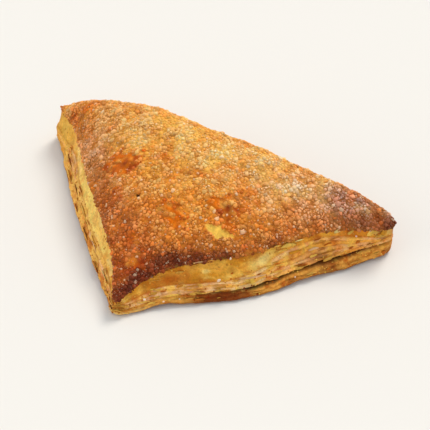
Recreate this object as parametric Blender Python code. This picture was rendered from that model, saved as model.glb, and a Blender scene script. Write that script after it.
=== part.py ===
"""Turnover pastry: a square of puff pastry folded corner to corner over its filling and baked.

The fold runs along +X at the back (+Y side). The two cut edges, with their open layers, meet at a
blunt right-angled tip that points to -Y. One solid, standing on its flat baked underside.
Plan dimensions below are millimetres from the middle of the fold line's square; the finished part is
moved so that its origin is the bottom centre of its bounding box.
"""

import math
import random

import bmesh
import bpy
import numpy as np

MM = 0.001

# ---- plan of the folded dough (mm) ------------------------------------------------------------
TIP = (1.6, -47.9)           # the corner where the two cut edges meet
LEFT = (-86.0, 43.0)         # left end of the fold
RIGHT = (89.4, 43.2)         # right end of the fold
MIDDLE = (-8.0, 14.0)        # where the columns of the mesh meet, inside the outline
CORNER_ROUND = 2.5           # softening of the corners
LEFT_END_ROUND = 5.5         # the left end of the fold is blunter
BULGE_FRONT = 7.0            # how far the front cut edge bows out
BULGE_FRONT_AT = 0.58        # where along that edge the bow is widest
BULGE_LEFT = 2.6
BULGE_FOLD = -0.2

# ---- crust edge: how far it stands in from the base, and how high ------------------------------
SET_BACK_FRONT, SET_BACK_FOLD, SET_BACK_LEFT = 9.5, -4.0, 5.9
SET_BACK_TIP, SET_BACK_RIGHT_END, SET_BACK_LEFT_END = 0.6, -2.7, 0.6
EDGE_HIGH_FRONT, EDGE_HIGH_FOLD, EDGE_HIGH_LEFT = 16.5, 17.0, 18.4
EDGE_HIGH_TIP, EDGE_HIGH_RIGHT_END, EDGE_HIGH_LEFT_END = 7.8, 16.0, 17.5

# ---- dome ---------------------------------------------------------------------------------------
HEIGHT = 37.8                # top of the dome above the base
RISE_FRONT = 29.0            # distance in from the front edge over which the dome rises
RISE_LEFT = 15.7
RISE_FOLD = 4.1              # short: the dough rolls over the fold
FOLD_FULLNESS = 0.5          # power of that roll, 0.5 being round
SHOULDERS = [                # plumper ends of the fold: x, y, reach, height
    (-76.0, 40.0, 13.0, 3.6),
    (68.0, 39.0, 16.0, 2.5),
]
LUMP_HEIGHT = 0.5            # unevenness of the baked top

# ---- cut edges ----------------------------------------------------------------------------------
LAYERS = 5                   # broad leaves of dough that read as ridges on each cut edge
LAYER_DEPTH = 0.5
LIP = 0.8                    # the crust's edge stands proud of the layers
LIP_RECESS = 0.7
SEAM_DEPTH = 2.4             # gap between the upper and the lower leaf of the folded dough
SEAM_HIGH = 0.34             # its height, as a share of the wall
RIM_LIFT = 1.0               # the underside's edge curls up a little from the tray
RIM_SHARE = 0.93             # plan size of the flat underside against the base outline

# ---- mesh ---------------------------------------------------------------------------------------
COLUMNS = 136
TOP_RINGS = 14
WALL_RINGS = 15
UNDER_RINGS = 3
SAMPLES = 1400
SEED = 7

CRUST_COLOUR = (0.52, 0.22, 0.055, 1.0)


def smooth_loop(values, sigma, step):
    """Gaussian smoothing of samples that run once round the outline."""
    values = np.asarray(values, float)
    gain = np.exp(-0.5 * (2.0 * np.pi * np.fft.fftfreq(len(values)) * sigma / step) ** 2)
    if values.ndim > 1:
        gain = gain[:, None]
    return np.real(np.fft.ifft(np.fft.fft(values, axis=0) * gain, axis=0))


def outline():
    """Base line, crust edge, edge height and side weights, sampled counter-clockwise from the tip."""
    tip, left, right = (np.array(p, float) for p in (TIP, LEFT, RIGHT))
    runs = [
        (tip, right, BULGE_FRONT, BULGE_FRONT_AT),
        (right, left, BULGE_FOLD, 0.5),
        (left, tip, BULGE_LEFT, 0.5),
    ]
    lengths = [float(np.linalg.norm(b - a)) for a, b, _, _ in runs]
    total = sum(lengths)
    step = total / SAMPLES
    s = np.arange(SAMPLES) * step
    points = np.zeros((SAMPLES, 2))
    side = np.zeros(SAMPLES, int)
    along = np.zeros(SAMPLES)
    start = 0.0
    for k, (a, b, bulge, at) in enumerate(runs):
        on = (s >= start) & (s < start + lengths[k] + 1e-9)
        u = np.clip((s[on] - start) / lengths[k], 0.0, 1.0)
        way = (b - a) / lengths[k]
        out = np.array([way[1], -way[0]])
        bow = bulge * np.sin(np.pi * u ** (math.log(0.5) / math.log(at)))
        points[on] = a + u[:, None] * (b - a) + out * bow[:, None]
        side[on] = k
        along[on] = u
        start += lengths[k]
    share = np.stack([smooth_loop(side == k, 5.0, step) for k in range(3)], 1)
    base = smooth_loop(points, CORNER_ROUND, step)
    blunt = np.exp(-((np.linalg.norm(base - left, axis=1) / 18.0) ** 4))[:, None]
    base = base * (1.0 - blunt) + smooth_loop(points, LEFT_END_ROUND, step) * blunt
    way = np.roll(base, -1, 0) - np.roll(base, 1, 0)
    way /= np.linalg.norm(way, axis=1)[:, None]
    out = np.stack([way[:, 1], -way[:, 0]], 1)

    def near(point, reach):
        return np.exp(-((np.linalg.norm(base - np.array(point), axis=1) / reach) ** 2))

    tip_n, left_n, right_n = near(TIP, 16.0), near(LEFT, 18.0), near(RIGHT, 20.0)
    back = share @ np.array([SET_BACK_FRONT, SET_BACK_FOLD, SET_BACK_LEFT])
    back = back * (1.0 - tip_n - left_n - right_n)
    back += SET_BACK_TIP * tip_n + SET_BACK_LEFT_END * left_n + SET_BACK_RIGHT_END * right_n
    tip_n, left_n, right_n = near(TIP, 26.0), near(LEFT, 24.0), near(RIGHT, 30.0)
    high = share @ np.array([EDGE_HIGH_FRONT, EDGE_HIGH_FOLD, EDGE_HIGH_LEFT])
    high = high * (1.0 - tip_n - left_n - right_n)
    high += EDGE_HIGH_TIP * tip_n + EDGE_HIGH_LEFT_END * left_n + EDGE_HIGH_RIGHT_END * right_n
    edge = base - out * back[:, None]
    return {
        "s": s, "step": step, "total": total, "lengths": lengths, "side": side, "along": along,
        "base": base, "out": out, "fold": share[:, 1],
        "edge": smooth_loop(edge, 2.0, step),
        "edge_mid": smooth_loop(edge, 14.0, step),
        "edge_core": smooth_loop(edge, 34.0, step),
        "high": smooth_loop(high, 4.0, step),
    }


def columns_along(line):
    """Sample index of each column: closer together at the three corners."""
    density = np.ones(SAMPLES)
    for corner in (TIP, LEFT, RIGHT):
        gap = np.linalg.norm(line["base"] - np.array(corner), axis=1)
        density += 1.5 * np.exp(-((gap / 9.0) ** 2))
    run = np.concatenate([[0.0], np.cumsum(density)])
    where = np.interp(np.arange(COLUMNS) / COLUMNS * run[-1], run, np.arange(SAMPLES + 1))
    return np.round(where).astype(int) % SAMPLES


def lumps(x, y, waves):
    """Gentle unevenness, a sum of a few crossing waves; about -1 to 1."""
    total = 0.0
    for kx, ky, phase, gain in waves:
        total += gain * np.sin(kx * x + ky * y + phase)
    return total


def make_waves(rng, count, shortest, longest):
    waves = []
    for _ in range(count):
        size = rng.uniform(shortest, longest)
        turn = rng.uniform(0.0, 2.0 * math.pi)
        k = 2.0 * math.pi / size
        waves.append((k * math.cos(turn), k * math.sin(turn), rng.uniform(0.0, 6.28), 1.6 / count))
    return waves


def edge_tables(line):
    """For each side, how far the crust's edge stands off the straight chord, against the way along it."""
    tip, left, right = (np.array(p, float) for p in (TIP, LEFT, RIGHT))
    tables = []
    for k, (a, b) in enumerate([(tip, right), (right, left), (left, tip)]):
        length = float(np.linalg.norm(b - a))
        way = (b - a) / length
        out = np.array([way[1], -way[0]])
        own = line["edge"][line["side"] == k] - a
        order = np.argsort(own @ way)
        tables.append((a, way, out, (own @ way)[order], (own @ out)[order]))
    return tables


def pillow(tables, xy):
    """Fullness of the dome over plan points: 0 on the crust's edge, smooth, largest over the filling."""
    full = np.ones(xy.shape[:-1])
    for (a, way, out, run, stand), rise, power in zip(
        tables, (RISE_FRONT, RISE_FOLD, RISE_LEFT), (1.0, FOLD_FULLNESS, 1.0)
    ):
        gap = np.interp((xy - a) @ way, run, stand) - (xy - a) @ out
        full = full * (1.0 - np.exp(-np.maximum(gap, 0.0) / rise)) ** power
    return full


def dome(line, tables, fullest, waves, i, r):
    """Points of the top skin on samples i, r from 0 in the middle to 1 at the crust's edge."""
    inner = min(r / 0.55, 1.0)
    outer = max((r - 0.55) / 0.45, 0.0) ** 1.5
    edge = line["edge_core"][i] * (1.0 - inner) + line["edge_mid"][i] * inner
    edge = edge * (1.0 - outer) + line["edge"][i] * outer
    xy = np.array(MIDDLE) + r * (edge - np.array(MIDDLE))
    full = pillow(tables, xy) / fullest
    high = line["high"][i] * r**2 + line["high"].mean() * (1.0 - r**2)
    z = high + (HEIGHT - high) * full
    for x, y, reach, plump in SHOULDERS:
        z += plump * np.exp(-((xy[:, 0] - x) ** 2 + (xy[:, 1] - y) ** 2) / reach**2) * (1.0 - r**8)
    z += LUMP_HEIGHT * (lumps(xy[:, 0], xy[:, 1], waves) - 1.0) * min(1.0, 4.0 * (1.0 - r))
    return np.column_stack([xy, z])


def layer_relief(line, i, v):
    """How far the leaves of a cut edge stand out (mm) at height share v, 1 at the crust, 0 at the base."""
    u, side = line["along"][i], line["side"][i]
    turn = 2.0 * np.pi * line["s"][i] / line["total"]
    wander = 0.35 * np.sin(3.0 * turn + 1.0) + 0.2 * np.sin(8.0 * turn + 2.0)
    relief = LAYER_DEPTH * np.sin(2.0 * np.pi * (LAYERS * v + wander)) * min(1.0, 6.0 * v, 5.0 * (1.0 - v))
    relief += LIP * math.exp(-(((1.0 - v) / 0.06) ** 2))
    relief -= LIP_RECESS * math.exp(-(((0.86 - v) / 0.07) ** 2))
    # the seam gapes towards the right-hand end of the front edge, and is a shallower groove on the left
    front = side == 0
    open_by = np.where(front, np.exp(-(((u - 0.68) / 0.28) ** 4)), 0.55 * np.exp(-(((u - 0.45) / 0.30) ** 4)))
    seam = np.where(front, SEAM_HIGH + 0.10 * (u - 0.6), SEAM_HIGH + 0.16)
    relief -= SEAM_DEPTH * open_by * np.exp(-(((v - seam) / 0.075) ** 2))
    return relief * (1.0 - line["fold"][i]) ** 2


def wall(line, i, v):
    """Points of the side wall on samples i, v from 1 at the crust's edge to 0 at the underside's rim."""
    fall = 1.0 - v
    fold = line["fold"][i]
    roll = 1.0 - math.sqrt(max(0.0, 1.0 - fall**2.2))
    share = (fall * (1.0 - fold) + roll * fold)[:, None]
    xy = line["edge"][i] * (1.0 - share) + line["base"][i] * share
    xy = xy + line["out"][i] * layer_relief(line, i, v)[:, None]
    z = RIM_LIFT + (line["high"][i] - RIM_LIFT) * v
    return np.column_stack([xy, z])


def underside(line, i, t):
    """Points of the flat underside at z = 0, t from 1 at its border to 0 in the middle."""
    xy = np.array(MIDDLE) + t * RIM_SHARE * (line["base"][i] - np.array(MIDDLE))
    return np.column_stack([xy, np.zeros(len(i))])


def shape_rings():
    """Every ring of the body from the crown down to the underside, in mm, plus the two poles."""
    waves = make_waves(random.Random(SEED), 6, 22.0, 46.0)
    line = outline()
    tables = edge_tables(line)
    i = columns_along(line)
    grid = np.stack(np.meshgrid(np.linspace(-60, 60, 61), np.linspace(-30, 45, 61)), -1)
    fullest = pillow(tables, grid).max()
    rings = []
    for n in range(1, TOP_RINGS + 1):    # closer together where the dome rolls over to its edge
        rings.append(dome(line, tables, fullest, waves, i, math.sin(0.5 * math.pi * n / TOP_RINGS)))
    for n in range(1, WALL_RINGS + 1):
        rings.append(wall(line, i, 1.0 - n / WALL_RINGS))
    for n in range(UNDER_RINGS, 0, -1):
        rings.append(underside(line, i, n / UNDER_RINGS))
    crown = dome(line, tables, fullest, waves, i[:1], 0.0)[0]
    foot = np.array([MIDDLE[0], MIDDLE[1], 0.0])
    return crown, rings, foot


def build_body(collection):
    """A sphere whose meridians become the columns round the outline and whose parallels become the rings."""
    crown, rings, foot = shape_rings()
    rows = len(rings) + 1
    mesh = bpy.data.meshes.new("pastry")
    bm = bmesh.new()
    bmesh.ops.create_uvsphere(bm, u_segments=COLUMNS, v_segments=rows, radius=1.0)
    everything = np.concatenate(rings)
    low, high = everything.min(0), everything.max(0)
    centre = np.array([(low[0] + high[0]) / 2.0, (low[1] + high[1]) / 2.0, 0.0])
    for vert in bm.verts:
        x, y, z = vert.co
        row = round(math.acos(max(-1.0, min(1.0, z))) / math.pi * rows)
        column = round(math.atan2(y, x) / (2.0 * math.pi) * COLUMNS) % COLUMNS
        point = crown if row == 0 else foot if row == rows else rings[row - 1][column]
        vert.co = [float(c) * MM for c in point - centre]
    bmesh.ops.triangulate(bm, faces=list(bm.faces), quad_method="SHORT_EDGE")
    bmesh.ops.recalc_face_normals(bm, faces=list(bm.faces))
    bm.to_mesh(mesh)
    bm.free()
    mesh.shade_smooth()
    mesh.set_sharp_from_angle(angle=math.radians(50.0))
    body = bpy.data.objects.new("pastry", mesh)
    collection.objects.link(body)
    return body


def crust_material():
    material = bpy.data.materials.new("crust")
    material.use_nodes = True
    shader = material.node_tree.nodes["Principled BSDF"]
    shader.inputs["Base Color"].default_value = CRUST_COLOUR
    shader.inputs["Roughness"].default_value = 0.55
    shader.inputs["Metallic"].default_value = 0.0
    return material


def main():
    for old in list(bpy.data.objects):
        bpy.data.objects.remove(old, do_unlink=True)
    collection = bpy.data.collections.new("turnover_pastry")
    bpy.context.scene.collection.children.link(collection)
    body = build_body(collection)
    body.data.materials.append(crust_material())


main()
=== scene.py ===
"""Looks of the turnover pastry: laminated body, sugar crust, flakes, soft studio light."""
import math
import random

import bmesh
import bpy
import numpy as np
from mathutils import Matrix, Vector


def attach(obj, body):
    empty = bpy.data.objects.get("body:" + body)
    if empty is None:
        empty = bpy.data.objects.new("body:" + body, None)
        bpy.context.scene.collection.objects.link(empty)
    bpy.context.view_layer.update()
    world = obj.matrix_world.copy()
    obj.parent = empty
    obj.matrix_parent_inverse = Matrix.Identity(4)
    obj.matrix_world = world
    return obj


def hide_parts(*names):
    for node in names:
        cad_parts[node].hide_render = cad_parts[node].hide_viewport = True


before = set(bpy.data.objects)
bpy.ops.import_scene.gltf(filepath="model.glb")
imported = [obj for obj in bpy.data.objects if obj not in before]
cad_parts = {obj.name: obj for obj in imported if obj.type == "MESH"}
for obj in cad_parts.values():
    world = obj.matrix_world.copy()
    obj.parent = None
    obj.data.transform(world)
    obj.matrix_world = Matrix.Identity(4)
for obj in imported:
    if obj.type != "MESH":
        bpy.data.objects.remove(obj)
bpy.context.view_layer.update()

MM = 0.001

# =================================================================================================
# The coarse form: the same named sizes and rules as the CAD solid (mm)
# =================================================================================================
TIP, LEFT, RIGHT, MIDDLE = (1.6, -47.9), (-86.0, 43.0), (89.4, 43.2), (-8.0, 14.0)
CORNER_ROUND, LEFT_END_ROUND = 2.5, 5.5
BULGE_FRONT, BULGE_FRONT_AT, BULGE_LEFT, BULGE_FOLD = 7.0, 0.58, 2.6, -0.2
SET_BACK_FRONT, SET_BACK_FOLD, SET_BACK_LEFT = 9.5, -4.0, 5.9
SET_BACK_TIP, SET_BACK_RIGHT_END, SET_BACK_LEFT_END = 0.6, -2.7, 0.6
EDGE_HIGH_FRONT, EDGE_HIGH_FOLD, EDGE_HIGH_LEFT = 16.5, 17.0, 18.4
EDGE_HIGH_TIP, EDGE_HIGH_RIGHT_END, EDGE_HIGH_LEFT_END = 7.8, 16.0, 17.5
HEIGHT = 37.8
RISE_FRONT, RISE_LEFT, RISE_FOLD, FOLD_FULLNESS = 26.5, 14.2, 4.1, 0.5
SHOULDERS = [(-76.0, 40.0, 13.0, 3.6), (68.0, 39.0, 16.0, 2.5)]
LUMP_HEIGHT = 0.5
RIM_LIFT, RIM_SHARE = 1.0, 0.93
SAMPLES, SEED = 1400, 7
CENTRE = np.array([3.5997, 0.1366])      # plan centre of the CAD solid's box before it is moved to the origin

# ---- local departures from the coarse form (mm), against the way along each cut side -------------
# crust edge set further in, and lifted
EDGE_IN_FRONT = [(0.0, 0.0), (0.04, 1.0), (0.10, 3.4), (0.18, 2.4), (0.28, 1.2), (0.40, 0.3), (0.50, 0.8), (0.60, 2.0), (0.72, 2.8), (0.85, 2.4), (0.93, 1.2), (1.0, 0.0)]
EDGE_UP_FRONT = [(0.0, 0.0), (0.10, 1.0), (0.20, 0.8), (0.35, 0.3), (0.50, 0.3), (0.62, 1.0), (0.85, 1.0), (1.0, 0.3)]
EDGE_IN_LEFT = [(0.0, 2.2), (0.06, 3.2), (0.13, 3.0), (0.22, 2.2), (0.5, 2.0), (0.75, 2.2), (0.87, 2.2), (0.95, 1.0), (1.0, 0.0)]
BELLY_LEFT = [(0.0, 1.6), (0.06, 2.8), (0.12, 1.8), (0.20, -0.2), (0.30, -0.2), (0.42, 0.5), (0.8, 0.5), (1.0, 0.0)]      # outward swell at mid height
# foot of the wall pushed out, and the lower leaf lifted off the floor
FOOT_OUT_FRONT = [(0.0, 0.0), (0.08, 0.0), (0.12, -0.6), (0.17, -1.3), (0.22, -0.5), (0.27, 0.3), (0.33, 1.0), (0.39, 1.8), (0.48, 1.2), (0.56, 0.1), (0.63, -1.7), (0.70, -1.3), (0.78, 0.0), (1.0, 0.0)]
FOOT_LIFT_FRONT = [(0.0, 0.0), (0.10, 0.2), (0.17, 1.4), (0.23, 0.6), (0.30, 0.2), (0.50, 0.0), (0.60, 0.5), (0.66, 0.9), (0.75, 0.3), (1.0, 0.0)]

FOOT_RIGHT_END = (1.3, -0.2)         # the base reaches out a little further at the right-hand end

RIDGE = [(-30.0, 40.0, 15.0, 2.2)]      # the fold stands a little fuller here

# ---- fine mesh ----------------------------------------------------------------------------------
COLUMNS = 560
TOP_RINGS = 92
WALL_RINGS = 66
RIM_RINGS = 4
FLOOR_RINGS = 7
SKIN_SINK = 0.75             # the skin lies below the CAD surface; the sugar fills up to it


def smooth_loop(values, sigma, step):
    values = np.asarray(values, float)
    gain = np.exp(-0.5 * (2.0 * np.pi * np.fft.fftfreq(len(values)) * sigma / step) ** 2)
    if values.ndim > 1:
        gain = gain[:, None]
    return np.real(np.fft.ifft(np.fft.fft(values, axis=0) * gain, axis=0))


def outline():
    tip, left, right = (np.array(p, float) for p in (TIP, LEFT, RIGHT))
    runs = [(tip, right, BULGE_FRONT, BULGE_FRONT_AT), (right, left, BULGE_FOLD, 0.5), (left, tip, BULGE_LEFT, 0.5)]
    lengths = [float(np.linalg.norm(b - a)) for a, b, _, _ in runs]
    total = sum(lengths)
    step = total / SAMPLES
    s = np.arange(SAMPLES) * step
    points = np.zeros((SAMPLES, 2))
    side = np.zeros(SAMPLES, int)
    along = np.zeros(SAMPLES)
    start = 0.0
    for k, (a, b, bulge, at) in enumerate(runs):
        on = (s >= start) & (s < start + lengths[k] + 1e-9)
        u = np.clip((s[on] - start) / lengths[k], 0.0, 1.0)
        way = (b - a) / lengths[k]
        out = np.array([way[1], -way[0]])
        bow = bulge * np.sin(np.pi * u ** (math.log(0.5) / math.log(at)))
        points[on] = a + u[:, None] * (b - a) + out * bow[:, None]
        side[on] = k
        along[on] = u
        start += lengths[k]
    share = np.stack([smooth_loop(side == k, 5.0, step) for k in range(3)], 1)
    base = smooth_loop(points, CORNER_ROUND, step)
    blunt = np.exp(-((np.linalg.norm(base - left, axis=1) / 18.0) ** 4))[:, None]
    base = base * (1.0 - blunt) + smooth_loop(points, LEFT_END_ROUND, step) * blunt
    way = np.roll(base, -1, 0) - np.roll(base, 1, 0)
    way /= np.linalg.norm(way, axis=1)[:, None]
    out = np.stack([way[:, 1], -way[:, 0]], 1)

    def near(point, reach):
        return np.exp(-((np.linalg.norm(base - np.array(point), axis=1) / reach) ** 2))

    tip_n, left_n, right_n = near(TIP, 16.0), near(LEFT, 18.0), near(RIGHT, 20.0)
    back = share @ np.array([SET_BACK_FRONT, SET_BACK_FOLD, SET_BACK_LEFT])
    back = back * (1.0 - tip_n - left_n - right_n)
    back += SET_BACK_TIP * tip_n + SET_BACK_LEFT_END * left_n + SET_BACK_RIGHT_END * right_n
    tip_n, left_n, right_n = near(TIP, 26.0), near(LEFT, 24.0), near(RIGHT, 30.0)
    high = share @ np.array([EDGE_HIGH_FRONT, EDGE_HIGH_FOLD, EDGE_HIGH_LEFT])
    high = high * (1.0 - tip_n - left_n - right_n)
    high += EDGE_HIGH_TIP * tip_n + EDGE_HIGH_LEFT_END * left_n + EDGE_HIGH_RIGHT_END * right_n
    def along_side(k, table):
        xs, ys = zip(*table)
        return smooth_loop(np.where(side == k, np.interp(along, xs, ys), 0.0), 1.5, step)

    back += along_side(0, EDGE_IN_FRONT) + along_side(2, EDGE_IN_LEFT)
    high += along_side(0, EDGE_UP_FRONT)
    edge = base - out * back[:, None]
    base = base + out * along_side(0, FOOT_OUT_FRONT)[:, None] + np.array(FOOT_RIGHT_END) * near(RIGHT, 11.0)[:, None]
    blunt = near(RIGHT, 10.0)[:, None]
    edge = edge * (1.0 - blunt) + smooth_loop(edge, 3.0, step) * blunt
    base = base * (1.0 - blunt) + smooth_loop(base, 4.0, step) * blunt
    return {
        "s": s, "step": step, "total": total, "lengths": lengths, "side": side, "along": along,
        "base": base, "out": out, "fold": share[:, 1], "share": share,
        "edge": smooth_loop(edge, 2.0, step), "edge_mid": smooth_loop(edge, 14.0, step),
        "edge_core": smooth_loop(edge, 34.0, step), "high": smooth_loop(high, 4.0, step),
        "lift": along_side(0, FOOT_LIFT_FRONT), "belly": along_side(2, BELLY_LEFT),
    }


def edge_tables(line):
    tip, left, right = (np.array(p, float) for p in (TIP, LEFT, RIGHT))
    tables = []
    for k, (a, b) in enumerate([(tip, right), (right, left), (left, tip)]):
        length = float(np.linalg.norm(b - a))
        way = (b - a) / length
        out = np.array([way[1], -way[0]])
        own = line["edge"][line["side"] == k] - a
        order = np.argsort(own @ way)
        tables.append((a, way, out, (own @ way)[order], (own @ out)[order]))
    return tables


def pillow(tables, xy):
    full = np.ones(xy.shape[:-1])
    for (a, way, out, run, stand), rise, power in zip(
        tables, (RISE_FRONT, RISE_FOLD, RISE_LEFT), (1.0, FOLD_FULLNESS, 1.0)
    ):
        gap = np.interp((xy - a) @ way, run, stand) - (xy - a) @ out
        full = full * (1.0 - np.exp(-np.maximum(gap, 0.0) / rise)) ** power
    return full


def make_waves(rng, count, shortest, longest):
    waves = []
    for _ in range(count):
        size = rng.uniform(shortest, longest)
        turn = rng.uniform(0.0, 2.0 * math.pi)
        k = 2.0 * math.pi / size
        waves.append((k * math.cos(turn), k * math.sin(turn), rng.uniform(0.0, 6.28), 1.6 / count))
    return waves


def lumps(x, y, waves):
    total = 0.0
    for kx, ky, phase, gain in waves:
        total = total + gain * np.sin(kx * x + ky * y + phase)
    return total


# =================================================================================================
# Noise on points in millimetres, seeded by its arguments only
# =================================================================================================
def lattice(ix, iy, iz, seed):
    h = (ix * 73856093) ^ (iy * 19349663) ^ (iz * 83492791) ^ (seed * 40503 + 977)
    h &= 0xFFFFFFFF
    h = ((h ^ (h >> 16)) * 0x45D9F3B) & 0xFFFFFFFF
    h = ((h ^ (h >> 16)) * 0x45D9F3B) & 0xFFFFFFFF
    return ((h ^ (h >> 16)) & 0xFFFFFF) / float(0xFFFFFF)


def noise3(p, size, seed=0):
    """Smooth value noise, -1 to 1, over features of about the given size."""
    q = np.asarray(p, float) / size
    cell = np.floor(q).astype(np.int64)
    f = q - cell
    f = f * f * f * (f * (f * 6.0 - 15.0) + 10.0)
    x, y, z = cell[..., 0], cell[..., 1], cell[..., 2]
    fx, fy, fz = f[..., 0], f[..., 1], f[..., 2]
    out = 0.0
    for dx in (0, 1):
        wx = fx if dx else 1.0 - fx
        for dy in (0, 1):
            wy = fy if dy else 1.0 - fy
            for dz in (0, 1):
                wz = fz if dz else 1.0 - fz
                out = out + wx * wy * wz * lattice(x + dx, y + dy, z + dz, seed)
    return out * 2.0 - 1.0


def fbm(p, size, seed=0, octaves=3, rough=0.5):
    total, gain, norm = 0.0, 1.0, 0.0
    for k in range(octaves):
        total = total + gain * noise3(p, size / 2.0**k, seed + 31 * k)
        norm += gain
        gain *= rough
    return total / norm


def along_noise(s, total, size, seed):
    """Noise along the outline that closes on itself."""
    turn = 2.0 * np.pi * np.asarray(s) / total
    radius = total / (2.0 * np.pi)
    p = np.stack([radius * np.cos(turn), radius * np.sin(turn), np.full_like(turn, seed * 17.3)], -1)
    return fbm(p, size, seed, 2)


def step_up(a, b, x):
    t = np.clip((x - a) / (b - a), 0.0, 1.0)
    return t * t * (3.0 - 2.0 * t)


def srgb(r, g, b):
    c = np.array([r, g, b], float) / 255.0
    return np.where(c <= 0.04045, c / 12.92, ((c + 0.055) / 1.055) ** 2.4)


def limit(colour, most=0.93):
    """Scales down a tone that is too light, keeping its hue."""
    colour = np.maximum(colour, 0.003)
    return colour * np.minimum(1.0, most / colour.max(-1))[..., None]


def blend(a, b, t):
    t = np.asarray(t)[..., None]
    return a * (1.0 - t) + b * t


# =================================================================================================
# The cut edges: where the leaves of dough part, as shares of the wall's height
# =================================================================================================
# front edge, against the way from the tip (0) to the right-hand end (1)
BAND_FOOT_FRONT = [(0.0, 0.50), (0.15, 0.48), (0.30, 0.43), (0.41, 0.43), (0.475, 0.50), (0.56, 0.68), (0.64, 0.80), (0.78, 0.80), (0.90, 0.66), (1.0, 0.62)]
SEAM_FRONT = [(0.0, 0.16), (0.25, 0.22), (0.39, 0.18), (0.47, 0.17), (0.53, 0.20), (0.60, 0.23), (0.70, 0.245), (0.83, 0.29), (0.90, 0.37), (0.95, 0.44), (1.0, 0.46)]
GAPE_FRONT = [(0.0, 0.0), (0.24, 0.0), (0.30, 0.55), (0.45, 0.70), (0.52, 0.95), (0.60, 1.0), (0.84, 1.0), (0.90, 0.45), (0.94, 0.6), (0.98, 0.0), (1.0, 0.0)]
# left edge, from the left end of the fold (0) to the tip (1)
BAND_FOOT_LEFT = [(0.0, 0.45), (0.15, 0.42), (0.25, 0.55), (0.34, 0.50), (0.5, 0.46), (0.66, 0.42), (0.78, 0.50), (0.90, 0.50), (1.0, 0.50)]
SEAM_LEFT = [(0.0, 0.25), (0.3, 0.28), (0.6, 0.30), (0.85, 0.22), (1.0, 0.16)]
GAPE_LEFT = [(0.0, 0.0), (0.15, 0.1), (0.25, 0.5), (0.32, 0.2), (0.5, 0.35), (0.75, 0.45), (0.9, 0.1), (1.0, 0.0)]
LEAVES_LOW, LEAVES_MID = 2, 5


def curve(table, u):
    xs, ys = zip(*table)
    return np.interp(u, xs, ys)


def leaf_edges(cols):
    """Boundaries of the leaves for each column, from 0 at the base to 1 at the crust, and the seam's gape."""
    u, front, s, total = cols["u"], cols["side"] == 0, cols["s"], cols["total"]
    seam = np.where(front, curve(SEAM_FRONT, u), curve(SEAM_LEFT, u))
    foot = np.where(front, curve(BAND_FOOT_FRONT, u), curve(BAND_FOOT_LEFT, u))
    gape = np.where(front, curve(GAPE_FRONT, u), curve(GAPE_LEFT, u))
    seam = smooth_cols(seam, 1.5) + 0.015 * along_noise(s, total, 7.0, 3)
    foot = smooth_cols(foot, 1.5) + 0.02 * along_noise(s, total, 9.0, 4)
    gape = np.clip(smooth_cols(gape, 1.5) * (1.0 + 0.5 * along_noise(s, total, 5.0, 5)), 0.0, 1.2)
    half = 0.008 + 0.036 * gape
    rows = [np.zeros_like(u)]
    low = [0.9 + 0.45 * along_noise(s, total, 11.0, 20 + k) for k in range(LEAVES_LOW)]
    low_total = sum(low)
    top_of_low = seam - half
    run = 0.0
    for part in low:
        run = run + part
        rows.append(top_of_low * run / low_total)
    rows.append(seam + half)
    mid = [0.9 + 0.6 * along_noise(s, total, 13.0, 40 + k) for k in range(LEAVES_MID)]
    mid_total = sum(mid)
    run = 0.0
    for part in mid:
        run = run + part
        rows.append(seam + half + (foot - seam - half) * run / mid_total)
    rows.append(np.full_like(u, 0.93) + 0.02 * along_noise(s, total, 6.0, 9))
    rows.append(np.ones_like(u))
    return np.array(rows), gape


def smooth_cols(values, sigma_mm):
    return smooth_loop(values, sigma_mm, MEAN_STEP)


# =================================================================================================
# Column data
# =================================================================================================
line = outline()
tables = edge_tables(line)
grid = np.stack(np.meshgrid(np.linspace(-60, 60, 61), np.linspace(-30, 45, 61)), -1)
FULLEST = pillow(tables, grid).max()
WAVES = make_waves(random.Random(SEED), 6, 22.0, 46.0)
MEAN_STEP = line["total"] / COLUMNS
HIGH_MEAN = line["high"].mean()


def column_data():
    density = np.ones(SAMPLES)
    for corner in (TIP, LEFT, RIGHT):
        gap = np.linalg.norm(line["base"] - np.array(corner), axis=1)
        density += 1.2 * np.exp(-((gap / 8.0) ** 2))
    run = np.concatenate([[0.0], np.cumsum(density)])
    where = np.interp(np.arange(COLUMNS) / COLUMNS * run[-1], run, np.arange(SAMPLES + 1.0))
    low = np.floor(where).astype(int) % SAMPLES
    t = where - np.floor(where)
    cols = {"total": line["total"], "s": where * line["step"]}
    for key in ("base", "edge", "edge_mid", "edge_core", "out", "share"):
        cols[key] = line[key][low] * (1.0 - t[:, None]) + line[key][(low + 1) % SAMPLES] * t[:, None]
    for key in ("high", "fold", "lift", "belly"):
        cols[key] = line[key][low] * (1.0 - t) + line[key][(low + 1) % SAMPLES] * t
    cols["side"] = line["side"][low]
    cols["u"] = line["along"][low]
    cols["out"] /= np.linalg.norm(cols["out"], axis=1)[:, None]
    return cols


cols = column_data()
cols["cut"] = (1.0 - cols["fold"]) ** 2
LEAF_ROWS, GAPE = leaf_edges(cols)
NEAR_TIP = np.exp(-((np.linalg.norm(cols["base"] - np.array(TIP), axis=1) / 12.0) ** 2))
EDGE_PUSH = (1.0 - 0.9 * NEAR_TIP) * cols["cut"] * (0.45 + 0.55 * along_noise(cols["s"], cols["total"], 5.0, 61))
EDGE_RISE = 0.55 * along_noise(cols["s"], cols["total"], 9.0, 62) * cols["cut"]


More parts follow.
